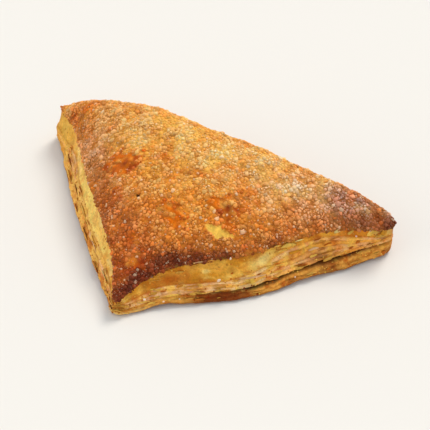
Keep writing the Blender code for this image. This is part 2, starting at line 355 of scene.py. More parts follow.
def top_ring(r):
    inner = min(r / 0.55, 1.0)
    outer = max((r - 0.55) / 0.45, 0.0) ** 1.5
    edge = cols["edge_core"] * (1.0 - inner) + cols["edge_mid"] * inner
    edge = edge * (1.0 - outer) + cols["edge"] * outer
    xy = np.array(MIDDLE) + r * (edge - np.array(MIDDLE))
    full = pillow(tables, xy) / FULLEST
    high = cols["high"] * r**2 + HIGH_MEAN * (1.0 - r**2)
    z = high + (HEIGHT - high) * full
    for x, y, reach, plump in SHOULDERS:
        z += plump * np.exp(-((xy[:, 0] - x) ** 2 + (xy[:, 1] - y) ** 2) / reach**2) * (1.0 - r**8)
    for x, y, reach, plump in RIDGE:
        z += plump * np.exp(-((xy[:, 0] - x) ** 2 + (xy[:, 1] - y) ** 2) / reach**2) * (1.0 - r**20)
    z += LUMP_HEIGHT * (lumps(xy[:, 0], xy[:, 1], WAVES) - 1.0) * min(1.0, 4.0 * (1.0 - r))
    flat = np.column_stack([xy, np.zeros(COLUMNS)])
    z -= SKIN_SINK * (1.0 - r**10)
    inward = 1.0 - step_up(0.90, 1.0, r)
    z += inward * (0.45 * fbm(flat, 13.0, 70) + 0.28 * fbm(flat, 5.0, 71) + 0.16 * noise3(flat, 2.2, 72))
    near_edge = step_up(0.955, 1.0, r)
    xy = xy + cols["out"] * (EDGE_PUSH * near_edge)[:, None]
    z = z + EDGE_RISE * near_edge
    return np.column_stack([xy, z])


def wall_relief(v, p):
    """Outward relief (mm) of the cut edges at height share v, with the leaf index and the way up it."""
    s, total, u = cols["s"], cols["total"], cols["u"]
    front = cols["side"] == 0
    relief = np.zeros(COLUMNS)
    leaf = np.zeros(COLUMNS, int)
    part = np.zeros(COLUMNS)
    count = len(LEAF_ROWS) - 1
    wall_mm = cols["high"]
    lumpy = fbm(p, 4.5, 95, 3)
    small = noise3(p, 1.5, 96)
    for j in range(count):
        low, high = LEAF_ROWS[j], LEAF_ROWS[j + 1]
        on = (v >= low) & (v < high) if j < count - 1 else (v >= low)
        t = np.clip((v - low) / np.maximum(high - low, 1e-4), 0.0, 1.0)
        thick = (high - low) * wall_mm
        if j == LEAVES_LOW:                                   # the seam between the two leaves
            value = -(0.3 + 2.9 * GAPE * (0.75 + 0.6 * along_noise(s, total, 4.0, 97))) * np.sin(np.pi * t) ** 0.6
        elif j == count - 1:                                  # the crust's own edge
            value = EDGE_PUSH
        elif j == count - 2:                                  # the smooth stretched band
            pleat = along_noise(s + 2.0 * t, total, 5.0, 81)
            value = -0.45 - 0.6 * np.sin(np.pi * t) * np.clip(thick / 6.0, 0, 1) + 0.45 * along_noise(s, total, 14.0, 80) + 0.30 * pleat + 0.25 * lumpy
            value = value - 0.45 * np.exp(-(((1.0 - t) / 0.10) ** 2))
        else:
            amp = 0.45 if j > LEAVES_LOW else 0.65
            value = amp * along_noise(s, total, 10.0, 90 + j) + 0.25 * along_noise(s, total, 2.6, 120 + j)
            crown = np.clip(thick / 1.2, 0.25, 1.0)
            value = value + 0.42 * crown * (1.0 - np.abs(2.0 * t - 1.0) ** 2.6) - 0.25
            value = value + (0.30 if j > LEAVES_LOW else 0.70) * lumpy * np.where(front, 1.0, 1.5) + np.where(front, 0.16, 0.30) * small
            if j < LEAVES_LOW:
                value = value + np.where(front, 0.5 * step_up(0.45, 0.55, u) - 0.8 * np.exp(-(((u - 0.34) / 0.10) ** 2)), 0.1)
        relief = np.where(on, value, relief)
        leaf = np.where(on, j, leaf)
        part = np.where(on, t, part)
    return relief, leaf, part


def wall_ring(v):
    fall = 1.0 - v
    fold, cut = cols["fold"], cols["cut"]
    roll = 1.0 - math.sqrt(max(0.0, 1.0 - fall**2.2))
    share = (fall * (1.0 - fold) + roll * fold)[:, None]
    xy = cols["edge"] * (1.0 - share) + cols["base"] * share
    z = RIM_LIFT + (cols["high"] - RIM_LIFT) * v + cols["lift"] * (1.0 - v) ** 3
    p = np.column_stack([xy, z])
    relief, leaf, part = wall_relief(v, p)
    ease = min(1.0, 10.0 * v + 0.35)
    relief = relief * cut * ease + cols["belly"] * math.sin(math.pi * v) ** 0.8
    relief = relief + fold * (0.5 * fbm(p, 14.0, 140) + 0.2 * fbm(p, 4.0, 141)) * min(1.0, 4.0 * fall)
    xy = xy + cols["out"] * relief[:, None]
    sag = 0.35 * along_noise(cols["s"] + 3.0 * v, cols["total"], 8.0, 150) * math.sin(math.pi * v)
    ragged = 0.35 * along_noise(cols["s"], cols["total"], 3.0, 151) * (1.0 - v) ** 6 * cut
    z = z + EDGE_RISE * v**3 + sag + np.maximum(ragged, -0.3)
    return np.column_stack([xy, z]), leaf, part


def build_grid():
    rings, kinds, shares, leaves, parts = [], [], [], [], []
    for n in range(1, TOP_RINGS + 1):
        t = n / TOP_RINGS
        r = 0.62 * t + 0.38 * math.sin(0.5 * math.pi * t)
        rings.append(top_ring(r)); kinds.append(0); shares.append(r)
        leaves.append(np.full(COLUMNS, -1)); parts.append(np.zeros(COLUMNS))
    for n in range(1, WALL_RINGS + 1):
        v = 1.0 - n / WALL_RINGS
        ring, leaf, part = wall_ring(v)
        rings.append(ring); kinds.append(1); shares.append(v); leaves.append(leaf); parts.append(part)
    last = rings[-1]
    for n in range(1, RIM_RINGS + 1):                     # the rim curls under to the flat underside
        t = n / RIM_RINGS
        flat = np.array(MIDDLE) + RIM_SHARE * (cols["base"] - np.array(MIDDLE))
        xy = last[:, :2] * (1.0 - t) + flat * t
        z = last[:, 2] * (1.0 - t) ** 1.8
        rings.append(np.column_stack([xy, z])); kinds.append(2); shares.append(1.0)
        leaves.append(np.full(COLUMNS, -2)); parts.append(np.full(COLUMNS, t))
    for n in range(FLOOR_RINGS, 0, -1):
        t = n / (FLOOR_RINGS + 1.0)
        xy = np.array(MIDDLE) + t * RIM_SHARE * (cols["base"] - np.array(MIDDLE))
        rings.append(np.column_stack([xy, np.zeros(COLUMNS)])); kinds.append(2); shares.append(t)
        leaves.append(np.full(COLUMNS, -2)); parts.append(np.ones(COLUMNS))
    return np.array(rings), np.array(kinds), np.array(shares), np.array(leaves), np.array(parts)


RINGS, KINDS, SHARES, LEAVES, PARTS = build_grid()

# =================================================================================================
# Colour of the baked dough: named tones laid over each other in soft-edged fields
# =================================================================================================
# mauve is browned sugar with a cool tint of painted shade
TONES = {
    "cream": srgb(242, 188, 108), "tan": srgb(242, 202, 148), "gold": srgb(224, 154, 70),
    "orange": srgb(224, 134, 50), "caramel": srgb(182, 102, 44), "umber": srgb(130, 57, 18),
    "mauve": srgb(172, 122, 98), "amber": srgb(214, 102, 4), "rust": srgb(166, 60, 2),
    "pale": srgb(255, 202, 92), "char": srgb(100, 42, 16),
}
# x, y, half length, half width, turn (degrees), tone, strength: on the top, in the part's own plan (mm)
TOP_FIELDS = [
    (0.0, 27.0, 62.0, 16.0, 0.0, "cream", 0.90),
    (30.0, 12.0, 22.0, 12.0, 25.0, "orange", 0.60),
    (46.0, 30.0, 22.0, 9.0, 15.0, "tan", 0.95),
    (5.0, -6.0, 24.0, 12.0, -30.0, "orange", 0.60),
    (-12.0, -18.0, 16.0, 12.0, -45.0, "caramel", 0.90),
    (-44.0, 10.0, 34.0, 8.0, -44.0, "mauve", 0.55),
    (-62.0, 30.0, 13.0, 8.0, 0.0, "gold", 0.80),
    (-24.0, -14.0, 26.0, 6.0, -45.0, "caramel", 0.92),
    (50.0, 19.0, 20.0, 7.0, 38.0, "caramel", 0.62),
    (67.5, 36.5, 16.0, 8.0, 26.0, "mauve", 0.95),
    (58.0, 38.0, 10.0, 5.0, 20.0, "umber", 0.35),
    (82.0, 40.0, 9.0, 6.0, 30.0, "mauve", 0.80),
    (0.0, -33.0, 14.0, 12.0, 60.0, "rust", 0.90),
    (-1.5, -41.5, 8.0, 7.0, 0.0, "umber", 0.85),
    (-71.0, 33.5, 4.0, 3.0, 0.0, "rust", 0.80),
    (72.2, 36.0, 3.6, 1.5, 20.0, "tan", 0.95),
]
AMBER_PATCHES = [
    (-28.0, 8.0, 9.0, 6.5, 20.0, 1.0), (4.9, -7.2, 7.0, 4.0, -20.0, 1.0), (21.5, 4.4, 6.5, 5.0, 0.0, 1.0),
    (-2.2, -30.0, 4.5, 3.2, 20.0, 1.0), (-14.0, 14.0, 8.0, 2.6, 15.0, 0.6), (26.0, -3.0, 6.5, 4.0, 0.0, 0.8),
    (-24.0, -6.0, 5.0, 3.0, -30.0, 0.7), (8.0, 14.0, 9.0, 2.2, 12.0, 0.5), (30.0, 14.0, 6.0, 4.5, 20.0, 0.6),
    (-7.0, -22.0, 4.0, 3.0, 0.0, 0.6), (14.0, 22.0, 8.0, 2.0, 8.0, 0.4), (-66.0, 36.0, 7.0, 2.0, 20.0, 0.6),
]
PALE_PATCHES = [(24.2, -4.4, 4.2, 2.9, 12.0, 1.0)]


def field(xy, spec, warp=0.22, seed=200, soft=1.0):
    x, y, a, b, turn = spec[0] - 1.0, spec[1] + 1.6, *spec[2:5]
    t = math.radians(turn)
    dx, dy = xy[..., 0] - x, xy[..., 1] - y
    p = (dx * math.cos(t) + dy * math.sin(t)) / a
    q = (-dx * math.sin(t) + dy * math.cos(t)) / b
    flat = np.concatenate([xy, np.zeros(xy.shape[:-1] + (1,))], -1)
    d = np.sqrt(p * p + q * q) + warp * fbm(flat, 0.55 * max(b, 3.0), seed, 3)
    return np.exp(-(np.maximum(d, 0.0) ** (2.0 / soft)) * 0.9)


def hard_field(xy, spec, warp=0.55, seed=300, points=0.0):
    x, y, a, b, turn = spec[0] - 1.0, spec[1] + 1.6, *spec[2:5]
    t = math.radians(turn)
    dx, dy = xy[..., 0] - x, xy[..., 1] - y
    p = (dx * math.cos(t) + dy * math.sin(t)) / a
    q = (-dx * math.sin(t) + dy * math.cos(t)) / b
    flat = np.concatenate([xy, np.zeros(xy.shape[:-1] + (1,))], -1)
    d = np.sqrt(p * p + q * q) + warp * fbm(flat, 3.4, seed, 3) - points * np.cos(4.0 * np.arctan2(q, p) + 0.6)
    return 1.0 - step_up(0.62, 1.15, d)


def top_colour(xy, rim):
    """Average tone of the top at plan points (part frame); rim, mm in from the crust's edge on the cut sides, is not
    used.
    """
    flat = np.concatenate([xy, np.zeros(xy.shape[:-1] + (1,))], -1)
    col = np.broadcast_to(TONES["gold"], xy.shape[:-1] + (3,)).copy()
    for k, spec in enumerate(TOP_FIELDS):
        col = blend(col, TONES[spec[5]], np.clip(spec[6] * field(xy, spec, seed=200 + k), 0, 1))
    return col


def gap_to_edges(xy):
    """Distance in from the crust's edge (mm) on the front and left cut sides; xy in the unshifted plan."""
    gaps = []
    for a, way, out, run, stand in tables:
        gaps.append(np.interp((xy - a) @ way, run, stand) - (xy - a) @ out)
    return gaps[0], gaps[1], gaps[2]


# where the rim of the crust is scorched, along the front edge (way from the tip, darkness)
SCORCH_FRONT = [(0.0, 1.0), (0.08, 1.0), (0.16, 0.98), (0.26, 0.92), (0.36, 0.86), (0.46, 0.68), (0.56, 0.60), (0.66, 0.42), (0.78, 0.55), (0.9, 0.75), (1.0, 0.9)]
SCORCH_LEFT = [(0.0, 0.14), (0.15, 0.14), (0.35, 0.20), (0.6, 0.44), (0.8, 0.60), (0.92, 0.78), (1.0, 0.95)]


def scorch(xy_shifted):
    xy = xy_shifted + CENTRE
    front, fold, left = gap_to_edges(xy)
    a, way = tables[0][0], tables[0][1]
    u_front = np.clip((xy - a) @ way / line["lengths"][0], 0, 1)
    a, way = tables[2][0], tables[2][1]
    u_left = np.clip((xy - a) @ way / line["lengths"][2], 0, 1)
    flat = np.concatenate([xy, np.zeros(xy.shape[:-1] + (1,))], -1)
    wob = 1.0 + 0.45 * fbm(flat, 7.0, 410)
    reach = np.interp(u_front, [0.0, 0.1, 0.3, 0.5, 0.7, 1.0], [7.0, 7.0, 8.0, 6.5, 5.0, 6.0])
    dark = curve(SCORCH_FRONT, u_front) * np.exp(-((np.maximum(front, 0) / (reach * wob)) ** 2.0))
    dark = np.maximum(dark, 0.75 * curve(SCORCH_LEFT, u_left) * np.exp(-((np.maximum(left, 0) / (5.0 * wob)) ** 1.5)))
    return np.clip(dark, 0, 1), front, fold, left


def skin_and_grain_colour(xy):
    """Colour of the bare skin, of the grains, density of sugar, and gloss, over the top."""
    flat = np.concatenate([xy, np.zeros(xy.shape[:-1] + (1,))], -1)
    dark, front, fold, left = scorch(xy)
    mean = top_colour(xy, front)
    one = np.ones_like(mean)
    blotch = fbm(flat, 6.5, 425, 2)
    calm = 1.0 - 0.45 * np.exp(-((xy[..., 0] - 8.0) / 55.0) ** 2 - ((xy[..., 1] - 31.0) / 12.0) ** 2)
    mean = blend(mean, TONES["orange"] * one * 0.92, calm * np.clip(1.3 * blotch - 0.05, 0, 0.55))
    mean = blend(mean, TONES["caramel"] * one, calm * np.clip(1.3 * fbm(flat, 5.0, 426, 2) - 0.15, 0, 0.45))
    mean = blend(mean, TONES["umber"] * one, 0.88 * dark)
    mean = blend(mean, TONES["char"] * one, 0.75 * step_up(0.55, 1.0, dark + 0.35 * fbm(flat, 5.0, 420)))
    amber = np.zeros(xy.shape[:-1])
    for k, spec in enumerate(AMBER_PATCHES):
        amber = np.maximum(amber, spec[5] * hard_field(xy, spec, seed=300 + k, warp=0.9))
    pale = np.zeros(xy.shape[:-1])
    for k, spec in enumerate(PALE_PATCHES):
        pale = np.maximum(pale, spec[5] * hard_field(xy, spec, seed=340 + k, warp=0.9, points=0.28))
    skin = mean * np.array([0.66, 0.43, 0.20])
    skin = blend(skin, mean * np.array([1.04, 0.86, 0.56]), np.clip(0.45 + 1.1 * fbm(flat, 3.0, 430), 0, 1))
    amber_tone = blend(TONES["amber"] * one, TONES["rust"] * one, np.clip(0.30 + 0.9 * fbm(flat, 5.0, 440) + 0.6 * noise3(flat, 1.8, 441) + 0.5 * dark, 0, 1))
    amber_tone = blend(amber_tone, TONES["gold"] * one, np.clip(1.4 * fbm(flat, 3.2, 442, 2) - 0.15, 0, 0.75) * (1.0 - dark))
    streak = noise3(flat * np.array([0.45, 1.6, 1.0]), 1.7, 443)
    amber_tone = amber_tone * (1.0 + 0.30 * streak[..., None]) * np.array([0.94, 1.0, 1.0])
    skin = blend(skin, amber_tone, 0.9 * amber)
    skin = blend(skin, TONES["pale"] * one, pale)
    cluster = np.clip(0.55 + 1.5 * fbm(flat, 3.0, 460, 2) + 0.5 * noise3(flat, 7.0, 461), 0, 1) * (1.0 - 0.30 * dark)
    grain = blend(mean * np.array([0.88, 0.64, 0.36]), mean * np.array([1.34, 1.34, 1.80]), cluster)
    grain = blend(grain, amber_tone * 1.1, 0.75 * amber)
    density = np.clip(1.0 - (0.93 + 0.25 * noise3(flat, 2.2, 452)) * amber - 2.2 * pale, 0.0, 1.0)
    density = density * np.clip(0.45 + 0.7 * cluster + 0.3 * fbm(flat, 9.0, 450), 0.15, 1.0)
    gloss = np.clip(0.25 + 0.75 * amber + 0.3 * dark, 0, 1)
    lift = blend(np.array([1.26, 1.55, 1.56]) * one, np.array([1.08, 1.08, 0.92]) * one, np.clip(amber + dark + pale, 0, 1))
    grey = np.exp(-((xy[..., 0] - 67.0) / 13.0) ** 2 - ((xy[..., 1] - 40.0) / 7.0) ** 2)
    lift = lift * (1.0 - grey[..., None] * np.array([0.26, 0.38, 0.36]))
    mid = np.exp(-((xy[..., 0] - 50.0) / 14.0) ** 2 - ((xy[..., 1] - 24.0) / 7.0) ** 2)
    lift = lift * (1.0 - mid[..., None] * np.array([0.10, 0.16, 0.14]))
    lift = lift * (1.0 + np.exp(-((xy[..., 0] + 2.0) / 20.0) ** 2 - ((xy[..., 1] - 12.0) / 12.0) ** 2)[..., None] * np.array([0.0, 0.12, 0.22]))
    end = np.exp(-((xy[..., 0] - 82.0) / 7.0) ** 2 - ((xy[..., 1] - 43.5) / 6.0) ** 2)
    lift = lift * (1.0 + end[..., None] * np.array([0.05, 0.30, 0.60]))
    corner = np.exp(-((xy[..., 0] + 62.0) / 22.0) ** 2 - ((xy[..., 1] - 28.0) / 16.0) ** 2)
    lift = blend(lift, np.array([1.02, 1.08, 1.08]) * one, corner)
    grain = grain * lift
    grain[..., 1] = np.minimum(grain[..., 1], 0.72 * grain[..., 0])
    grain[..., 2] = np.minimum(grain[..., 2], 0.66 * grain[..., 1])
    skin, grain = limit(skin * lift), limit(grain)
    return skin, grain, density, gloss, amber, pale, dark, cluster


WALL_TONES = {
    "band": srgb(220, 150, 40), "band_light": srgb(255, 204, 92), "cream": srgb(255, 230, 146), "left_band_lit": srgb(255, 222, 112),
    "leaf": srgb(234, 168, 74), "leaf_pink": srgb(246, 198, 144), "leaf_brown": srgb(190, 98, 16), "seam_shade": srgb(40, 14, 3),
    "red": srgb(122, 42, 1), "mustard": srgb(218, 166, 58), "under": srgb(176, 108, 46), "under_dark": srgb(118, 60, 22),
    "fold": srgb(210, 138, 60),
}


def wall_colour(p, v, leaf, part):
    """Colour of the side at height share v; p are the ring's points (mm, part frame)."""
    u, side, s, total = cols["u"], cols["side"], cols["s"], cols["total"]
    front = side == 0
    ones = np.ones((COLUMNS, 3))
    fine = fbm(p * np.array([1.0, 1.0, 1.4]), 6.0, 510)
    grainy = fbm(p * np.array([1.0, 1.0, 1.3]), 2.6, 520)
    speck = noise3(p, 1.3, 521)
    count = len(LEAF_ROWS) - 1
    col = blend(WALL_TONES["leaf"] * ones, WALL_TONES["leaf_pink"] * ones, np.clip(0.5 + 0.55 * np.sin(1.9 * leaf + 3.0 * along_noise(s, total, 15.0, 530)) + 0.5 * fine, 0, 1))
    col = blend(col, WALL_TONES["leaf_brown"] * ones, np.clip(1.6 * grainy - 0.05, 0, 0.85))
    col = blend(col, WALL_TONES["band_light"] * ones, np.clip(2.2 * fbm(p, 3.4, 532, 2) - 0.05, 0, 0.8))
    low = leaf < LEAVES_LOW
    goldleaf = blend(WALL_TONES["leaf"] * ones, WALL_TONES["leaf_brown"] * ones, np.clip(0.30 + 1.4 * grainy + 0.4 * speck, 0, 0.95))
    goldleaf = blend(goldleaf, WALL_TONES["band_light"] * ones, np.clip(1.3 * fine + 0.6 * speck - 0.25, 0, 0.7))
    goldleaf = blend(goldleaf, WALL_TONES["red"] * ones, np.where(front, 0.9 * np.exp(-(((u - 0.36) / 0.10) ** 4)), 0.15 * np.clip(fine * 2, 0, 1)))
    col = np.where(low[:, None], goldleaf, col)
    band = leaf == count - 2
    light = np.clip(0.35 + 0.9 * fbm(p, 7.0, 540) + 0.5 * grainy, 0, 1)
    # on the front, a painted highlight spot on the band's lower part about halfway along; on the left, the band is
    # lighter through its middle
    light = np.where(front, np.clip(light * 0.75 + 0.7 * np.exp(-(((u - 0.50) / 0.06) ** 2)) * (part < 0.6), 0, 1), np.clip(light + 0.65 * np.exp(-(((u - 0.55) / 0.26) ** 4)), 0, 1))
    # painted light: on the left side the band's lightest tone is a lit copy of band_light, against that side's shade
    lightest = blend(WALL_TONES["band_light"] * ones, WALL_TONES["left_band_lit"] * ones, (side == 2) * 1.0)
    bandcol = blend(WALL_TONES["band"] * ones, lightest, light)
    folds = 0.8 * along_noise(s + 5.0 * part, total, 6.0, 541) + 0.9 * fbm(p * np.array([1.0, 1.0, 1.8]), 4.0, 542, 3)
    bandcol = blend(bandcol, WALL_TONES["band_light"] * ones, np.clip(1.9 * folds, 0, 0.8))
    # painted highlights: cream on the lightest fold streaks
    bandcol = blend(bandcol, WALL_TONES["cream"] * ones, np.clip(1.8 * folds - 0.50, 0, 0.50))
    bandcol = blend(bandcol, WALL_TONES["leaf_brown"] * ones, np.clip(-1.5 * folds - 0.45, 0, 0.45))
    # painted highlight: a cream gleam on the band's lower half, a little past halfway along the front
    gleam = np.where(front, np.exp(-(((u - 0.515) / 0.035) ** 2)) * np.exp(-(((part - 0.35) / 0.30) ** 2)), 0.0)
    bandcol = blend(bandcol, WALL_TONES["cream"] * ones, 0.9 * gleam)
    brown = np.where(front, np.exp(-(((u - 0.20) / 0.06) ** 2)) * np.exp(-(((v - 0.60) / 0.14) ** 2)), 0.0)
    brown = np.maximum(brown, np.where(front, 0.9, 0.45) * np.clip(fbm(p, 6.0, 550) * 2.0 - 0.30, 0, 1))
    brown = np.maximum(brown, np.where(front, 0.75 * np.exp(-(((u - 0.85) / 0.04) ** 2)), 0.0))
    brown = np.maximum(brown, np.where(front, 0.55 * np.clip(2.2 * grainy - 0.2, 0, 1), 0.25 * np.clip(2.2 * grainy - 0.3, 0, 1)))
    bandcol = blend(bandcol, WALL_TONES["leaf_brown"] * ones, np.clip(brown, 0, 0.9))
    col = np.where(band[:, None], bandcol, col)
    # right-hand part of the front: orange-brown patches over the middle leaves
    patch = np.where(front, step_up(0.60, 0.68, u) * (1 - step_up(0.86, 0.92, u)), 0.0) * np.clip(0.55 + 1.4 * fine, 0, 1)
    col = blend(col, WALL_TONES["leaf_brown"] * ones, 0.45 * patch * (~low))
    # painted shade: a darker patch over the leaves just above the seam, two thirds of the way along
    seam_shade_patch = np.where(front, np.exp(-(((u - 0.72) / 0.035) ** 2)) * np.exp(-(((v - 0.42) / 0.14) ** 2)), 0.0)
    col = blend(col, WALL_TONES["under_dark"] * ones, 0.8 * seam_shade_patch)
    # left side: the outer, lower leaves are browner
    lower = (side == 2) * (~band) * (leaf != LEAVES_LOW)
    col = blend(col, WALL_TONES["leaf_brown"] * ones, lower * np.clip(0.05 + 1.5 * fine, 0, 0.8))
    col = blend(col, WALL_TONES["band_light"] * ones, lower * np.clip(0.25 - 1.6 * fine, 0, 0.8))
    # painted shade: the grooves between leaves are darkened; a painted shadow line runs along the foot of the band
    groove = np.exp(-(np.minimum(part, 1.0 - part) / 0.18) ** 2) * (~band) * (leaf >= 0)
    band_foot_shadow = np.exp(-((part / 0.07) ** 2)) * band
    faint = np.where(front, 0.35 + 0.65 * step_up(0.16, 0.30, u), 0.45) * (0.6 + 0.5 * along_noise(s, total, 9.0, 531))
    col = col * (1.0 - 0.40 * (groove * faint)[:, None] * np.array([0.75, 1.0, 1.35]))
    col = blend(col, WALL_TONES["leaf_brown"] * ones, 0.6 * band_foot_shadow)
    # the seam between the lower leaves: caramel red where it is narrow, with painted shade, near black, where it gapes
    # and towards its middle
    gap = (leaf == LEAVES_LOW)
    seam_darkening = np.clip(0.30 + GAPE, 0, 1) * np.sin(np.pi * np.clip(part, 0, 1)) ** 0.35
    tint = blend(WALL_TONES["red"] * ones, WALL_TONES["seam_shade"] * ones, np.clip(GAPE * 1.4, 0, 1))
    col = np.where(gap[:, None], blend(col, tint, seam_darkening), col)
    # the lower leaf is scorched in places
    spots = np.where(front, np.exp(-(((u - 0.735) / 0.030) ** 2)) + 0.8 * np.exp(-(((u - 0.965) / 0.020) ** 2)), 0.0) * np.exp(-(((v - 0.12) / 0.12) ** 2))
    col = blend(col, WALL_TONES["under_dark"] * ones, np.clip(0.85 * spots + 0.5 * spots * grainy, 0, 0.9))
    # left end: mustard, with brown outlines
    must = np.where(side == 2, 1.0 - step_up(0.12, 0.22, u), 0.0)
    col = blend(col, WALL_TONES["mustard"] * ones, 0.7 * must * (1.0 - 0.4 * groove))
    # tip and right-hand end, browner at their feet
    near_tip = np.where(front, 1.0 - step_up(0.02, 0.16, u), np.where(side == 2, step_up(0.93, 1.0, u), 0.0))
    col = blend(col, WALL_TONES["leaf_brown"] * ones, 0.75 * near_tip * np.clip(0.45 + 2.0 * grainy, 0, 1) * (v < 0.6))
    end = np.where(front, step_up(0.955, 0.99, u), 0.0)
    col = blend(col, WALL_TONES["leaf_brown"] * ones, 0.45 * end)
    rim = near_tip * np.exp(-(((v - 0.05) / 0.06) ** 2))
    col = blend(col, WALL_TONES["cream"] * ones, 0.75 * rim * np.clip(0.75 + 1.2 * along_noise(s, total, 6.0, 533), 0, 1))
    # brown foot
    foot = np.exp(-((v / 0.05) ** 2)) * (1.0 - near_tip)
    col = blend(col, WALL_TONES["under_dark"] * ones, 0.6 * foot)
    # painted light: the tone of each cut side is raised, most on the front's right-hand and middle leaves and on the
    # left side's lower leaves
    rightward = np.where(front, step_up(0.45, 0.62, u) * (leaf > LEAVES_LOW), 0.0)[:, None]
    col = col * (1.0 + rightward * np.array([0.24, 0.24, 0.10])) * np.where(front[:, None], np.array([1.04, 1.0, 0.94]), np.array([1.10, 1.05, 1.10]))
    middle = np.where(front, np.exp(-(((u - 0.46) / 0.12) ** 4)) * (leaf > LEAVES_LOW) * (~band), 0.0)[:, None]
    col = col * (1.0 + middle * np.array([0.14, 0.24, 0.10]))
    outer = np.where(side == 2, 1.0 - step_up(0.25, 0.45, v), 0.0)[:, None]
    col = col * (1.0 + outer * np.array([0.10, 0.12, 0.22]))
    col = limit(col, 0.96)
    # the folded side
    back = blend(WALL_TONES["fold"] * ones, WALL_TONES["leaf_brown"] * ones, np.clip(0.35 + 1.0 * fbm(p, 11.0, 560) + 0.35 * (1 - v), 0, 1))
    back = blend(back, WALL_TONES["under_dark"] * ones, 0.7 * np.exp(-((v / 0.10) ** 2)))
    col = blend(col, back, np.clip(cols["fold"] * 1.25, 0, 1))
    return col


def body_colours():
    total = len(RINGS)
    colour = np.zeros((total, COLUMNS, 3))
    gloss = np.zeros((total, COLUMNS))
    sugar = np.zeros((total, COLUMNS))
    clump = np.zeros((total, COLUMNS))
    for n in range(total):
        p = RINGS[n].copy()
        p[:, :2] -= CENTRE
        if KINDS[n] == 0:
            skin, grain, density, shine, amber, pale, dark, cluster = skin_and_grain_colour(p[:, :2])
            colour[n], gloss[n], sugar[n] = skin, shine, density
            clump[n] = (cluster - 0.5) * (1.0 - amber) * (1.0 - pale) * (1.0 - step_up(0.94, 1.0, SHARES[n]))
        elif KINDS[n] == 1:
            v = SHARES[n]
            wall = wall_colour(p, v, LEAVES[n], PARTS[n])
            skin, grain, density, shine, amber, pale, dark, cluster = skin_and_grain_colour(p[:, :2])
            lip = (LEAVES[n] == len(LEAF_ROWS) - 2) * (1.0 - np.clip(cols["fold"] * 1.5, 0, 1))
            rolled = cols["fold"] * step_up(0.35, 0.8, v)
            colour[n] = blend(wall, skin * 0.9, np.clip(lip * 0.85 + rolled, 0, 1))
            gloss[n] = 0.15
            sugar[n] = 0.9 * density * step_up(0.90, 0.96, v) * cols["cut"] + density * (step_up(0.35, 0.85, v) * step_up(0.75, 0.98, cols["fold"]))
        else:
            base = np.ones((COLUMNS, 3))
            t = np.clip(0.45 + 0.9 * fbm(p, 16.0, 570) + 0.3 * fbm(p, 4.0, 571), 0, 1)
            under = blend(WALL_TONES["under"] * base, WALL_TONES["under_dark"] * base, t)
            rim = np.exp(-((1.0 - SHARES[n]) / 0.06) ** 2) if SHARES[n] < 1.0 else 1.0
            colour[n] = blend(under, WALL_TONES["under_dark"] * base, 0.35 * rim * np.ones(COLUMNS))
            gloss[n] = 0.1
    return colour, gloss, sugar, clump


COLOUR, GLOSS, SUGAR, CLUMP = body_colours()

# ---- melted clumps, the docking hole and the peeled flake's hollow, as real relief --------------
VENT = (-15.0, -3.3)
for n in range(TOP_RINGS):
    xy = RINGS[n][:, :2] - CENTRE
    RINGS[n][:, 2] += 0.55 * CLUMP[n]
    d = np.linalg.norm(xy - np.array(VENT), axis=1)
    RINGS[n][:, 2] -= 1.5 * np.exp(-((d / 0.85) ** 4))
    # painted shade: the inside of the docking hole is painted dark brown
    COLOUR[n] = blend(COLOUR[n], srgb(58, 34, 20) * np.ones((COLUMNS, 3)), np.exp(-((d / 1.0) ** 4)))
    SUGAR[n] *= 1.0 - np.exp(-((d / 1.7) ** 6))
    for k, spec in enumerate(PALE_PATCHES):
        RINGS[n][:, 2] -= 0.35 * hard_field(xy, spec, seed=340 + k, warp=0.9, points=0.28)


# =================================================================================================
# Mesh helpers
# =================================================================================================
def new_object(name, verts, faces, smooth=True, colours=None, uv=None):
    """verts (n, 3) in mm, faces (m, k) of equal length; colours per vertex, linear; uv per vertex."""
    verts = np.asarray(verts, np.float32) * MM
    faces = np.asarray(faces, np.int32)
    m, k = faces.shape
    mesh = bpy.data.meshes.new(name)
    mesh.vertices.add(len(verts))
    mesh.vertices.foreach_set("co", verts.ravel())
    mesh.loops.add(m * k)
    mesh.loops.foreach_set("vertex_index", faces.ravel())
    mesh.polygons.add(m)
    mesh.polygons.foreach_set("loop_start", np.arange(m, dtype=np.int32) * k)
    mesh.polygons.foreach_set("loop_total", np.full(m, k, np.int32))
    mesh.update(calc_edges=True)
    mesh.polygons.foreach_set("use_smooth", np.full(m, smooth, bool))
    if colours is not None:
        for key, value in colours.items():
            value = np.asarray(value, np.float32)
            if value.ndim == 1:
                layer = mesh.attributes.new(key, "FLOAT", "POINT")
                layer.data.foreach_set("value", value)
            else:
                layer = mesh.attributes.new(key, "FLOAT_COLOR", "POINT")
                rgba = np.ones((len(value), 4), np.float32)
                rgba[:, :3] = value
                layer.data.foreach_set("color", rgba.ravel())
    if uv is not None:
        layer = mesh.uv_layers.new(name="OFBake")
        layer.data.foreach_set("uv", np.asarray(uv, np.float32)[faces.ravel()].ravel())
    obj = bpy.data.objects.new(name, mesh)
    bpy.context.scene.collection.objects.link(obj)
    return obj


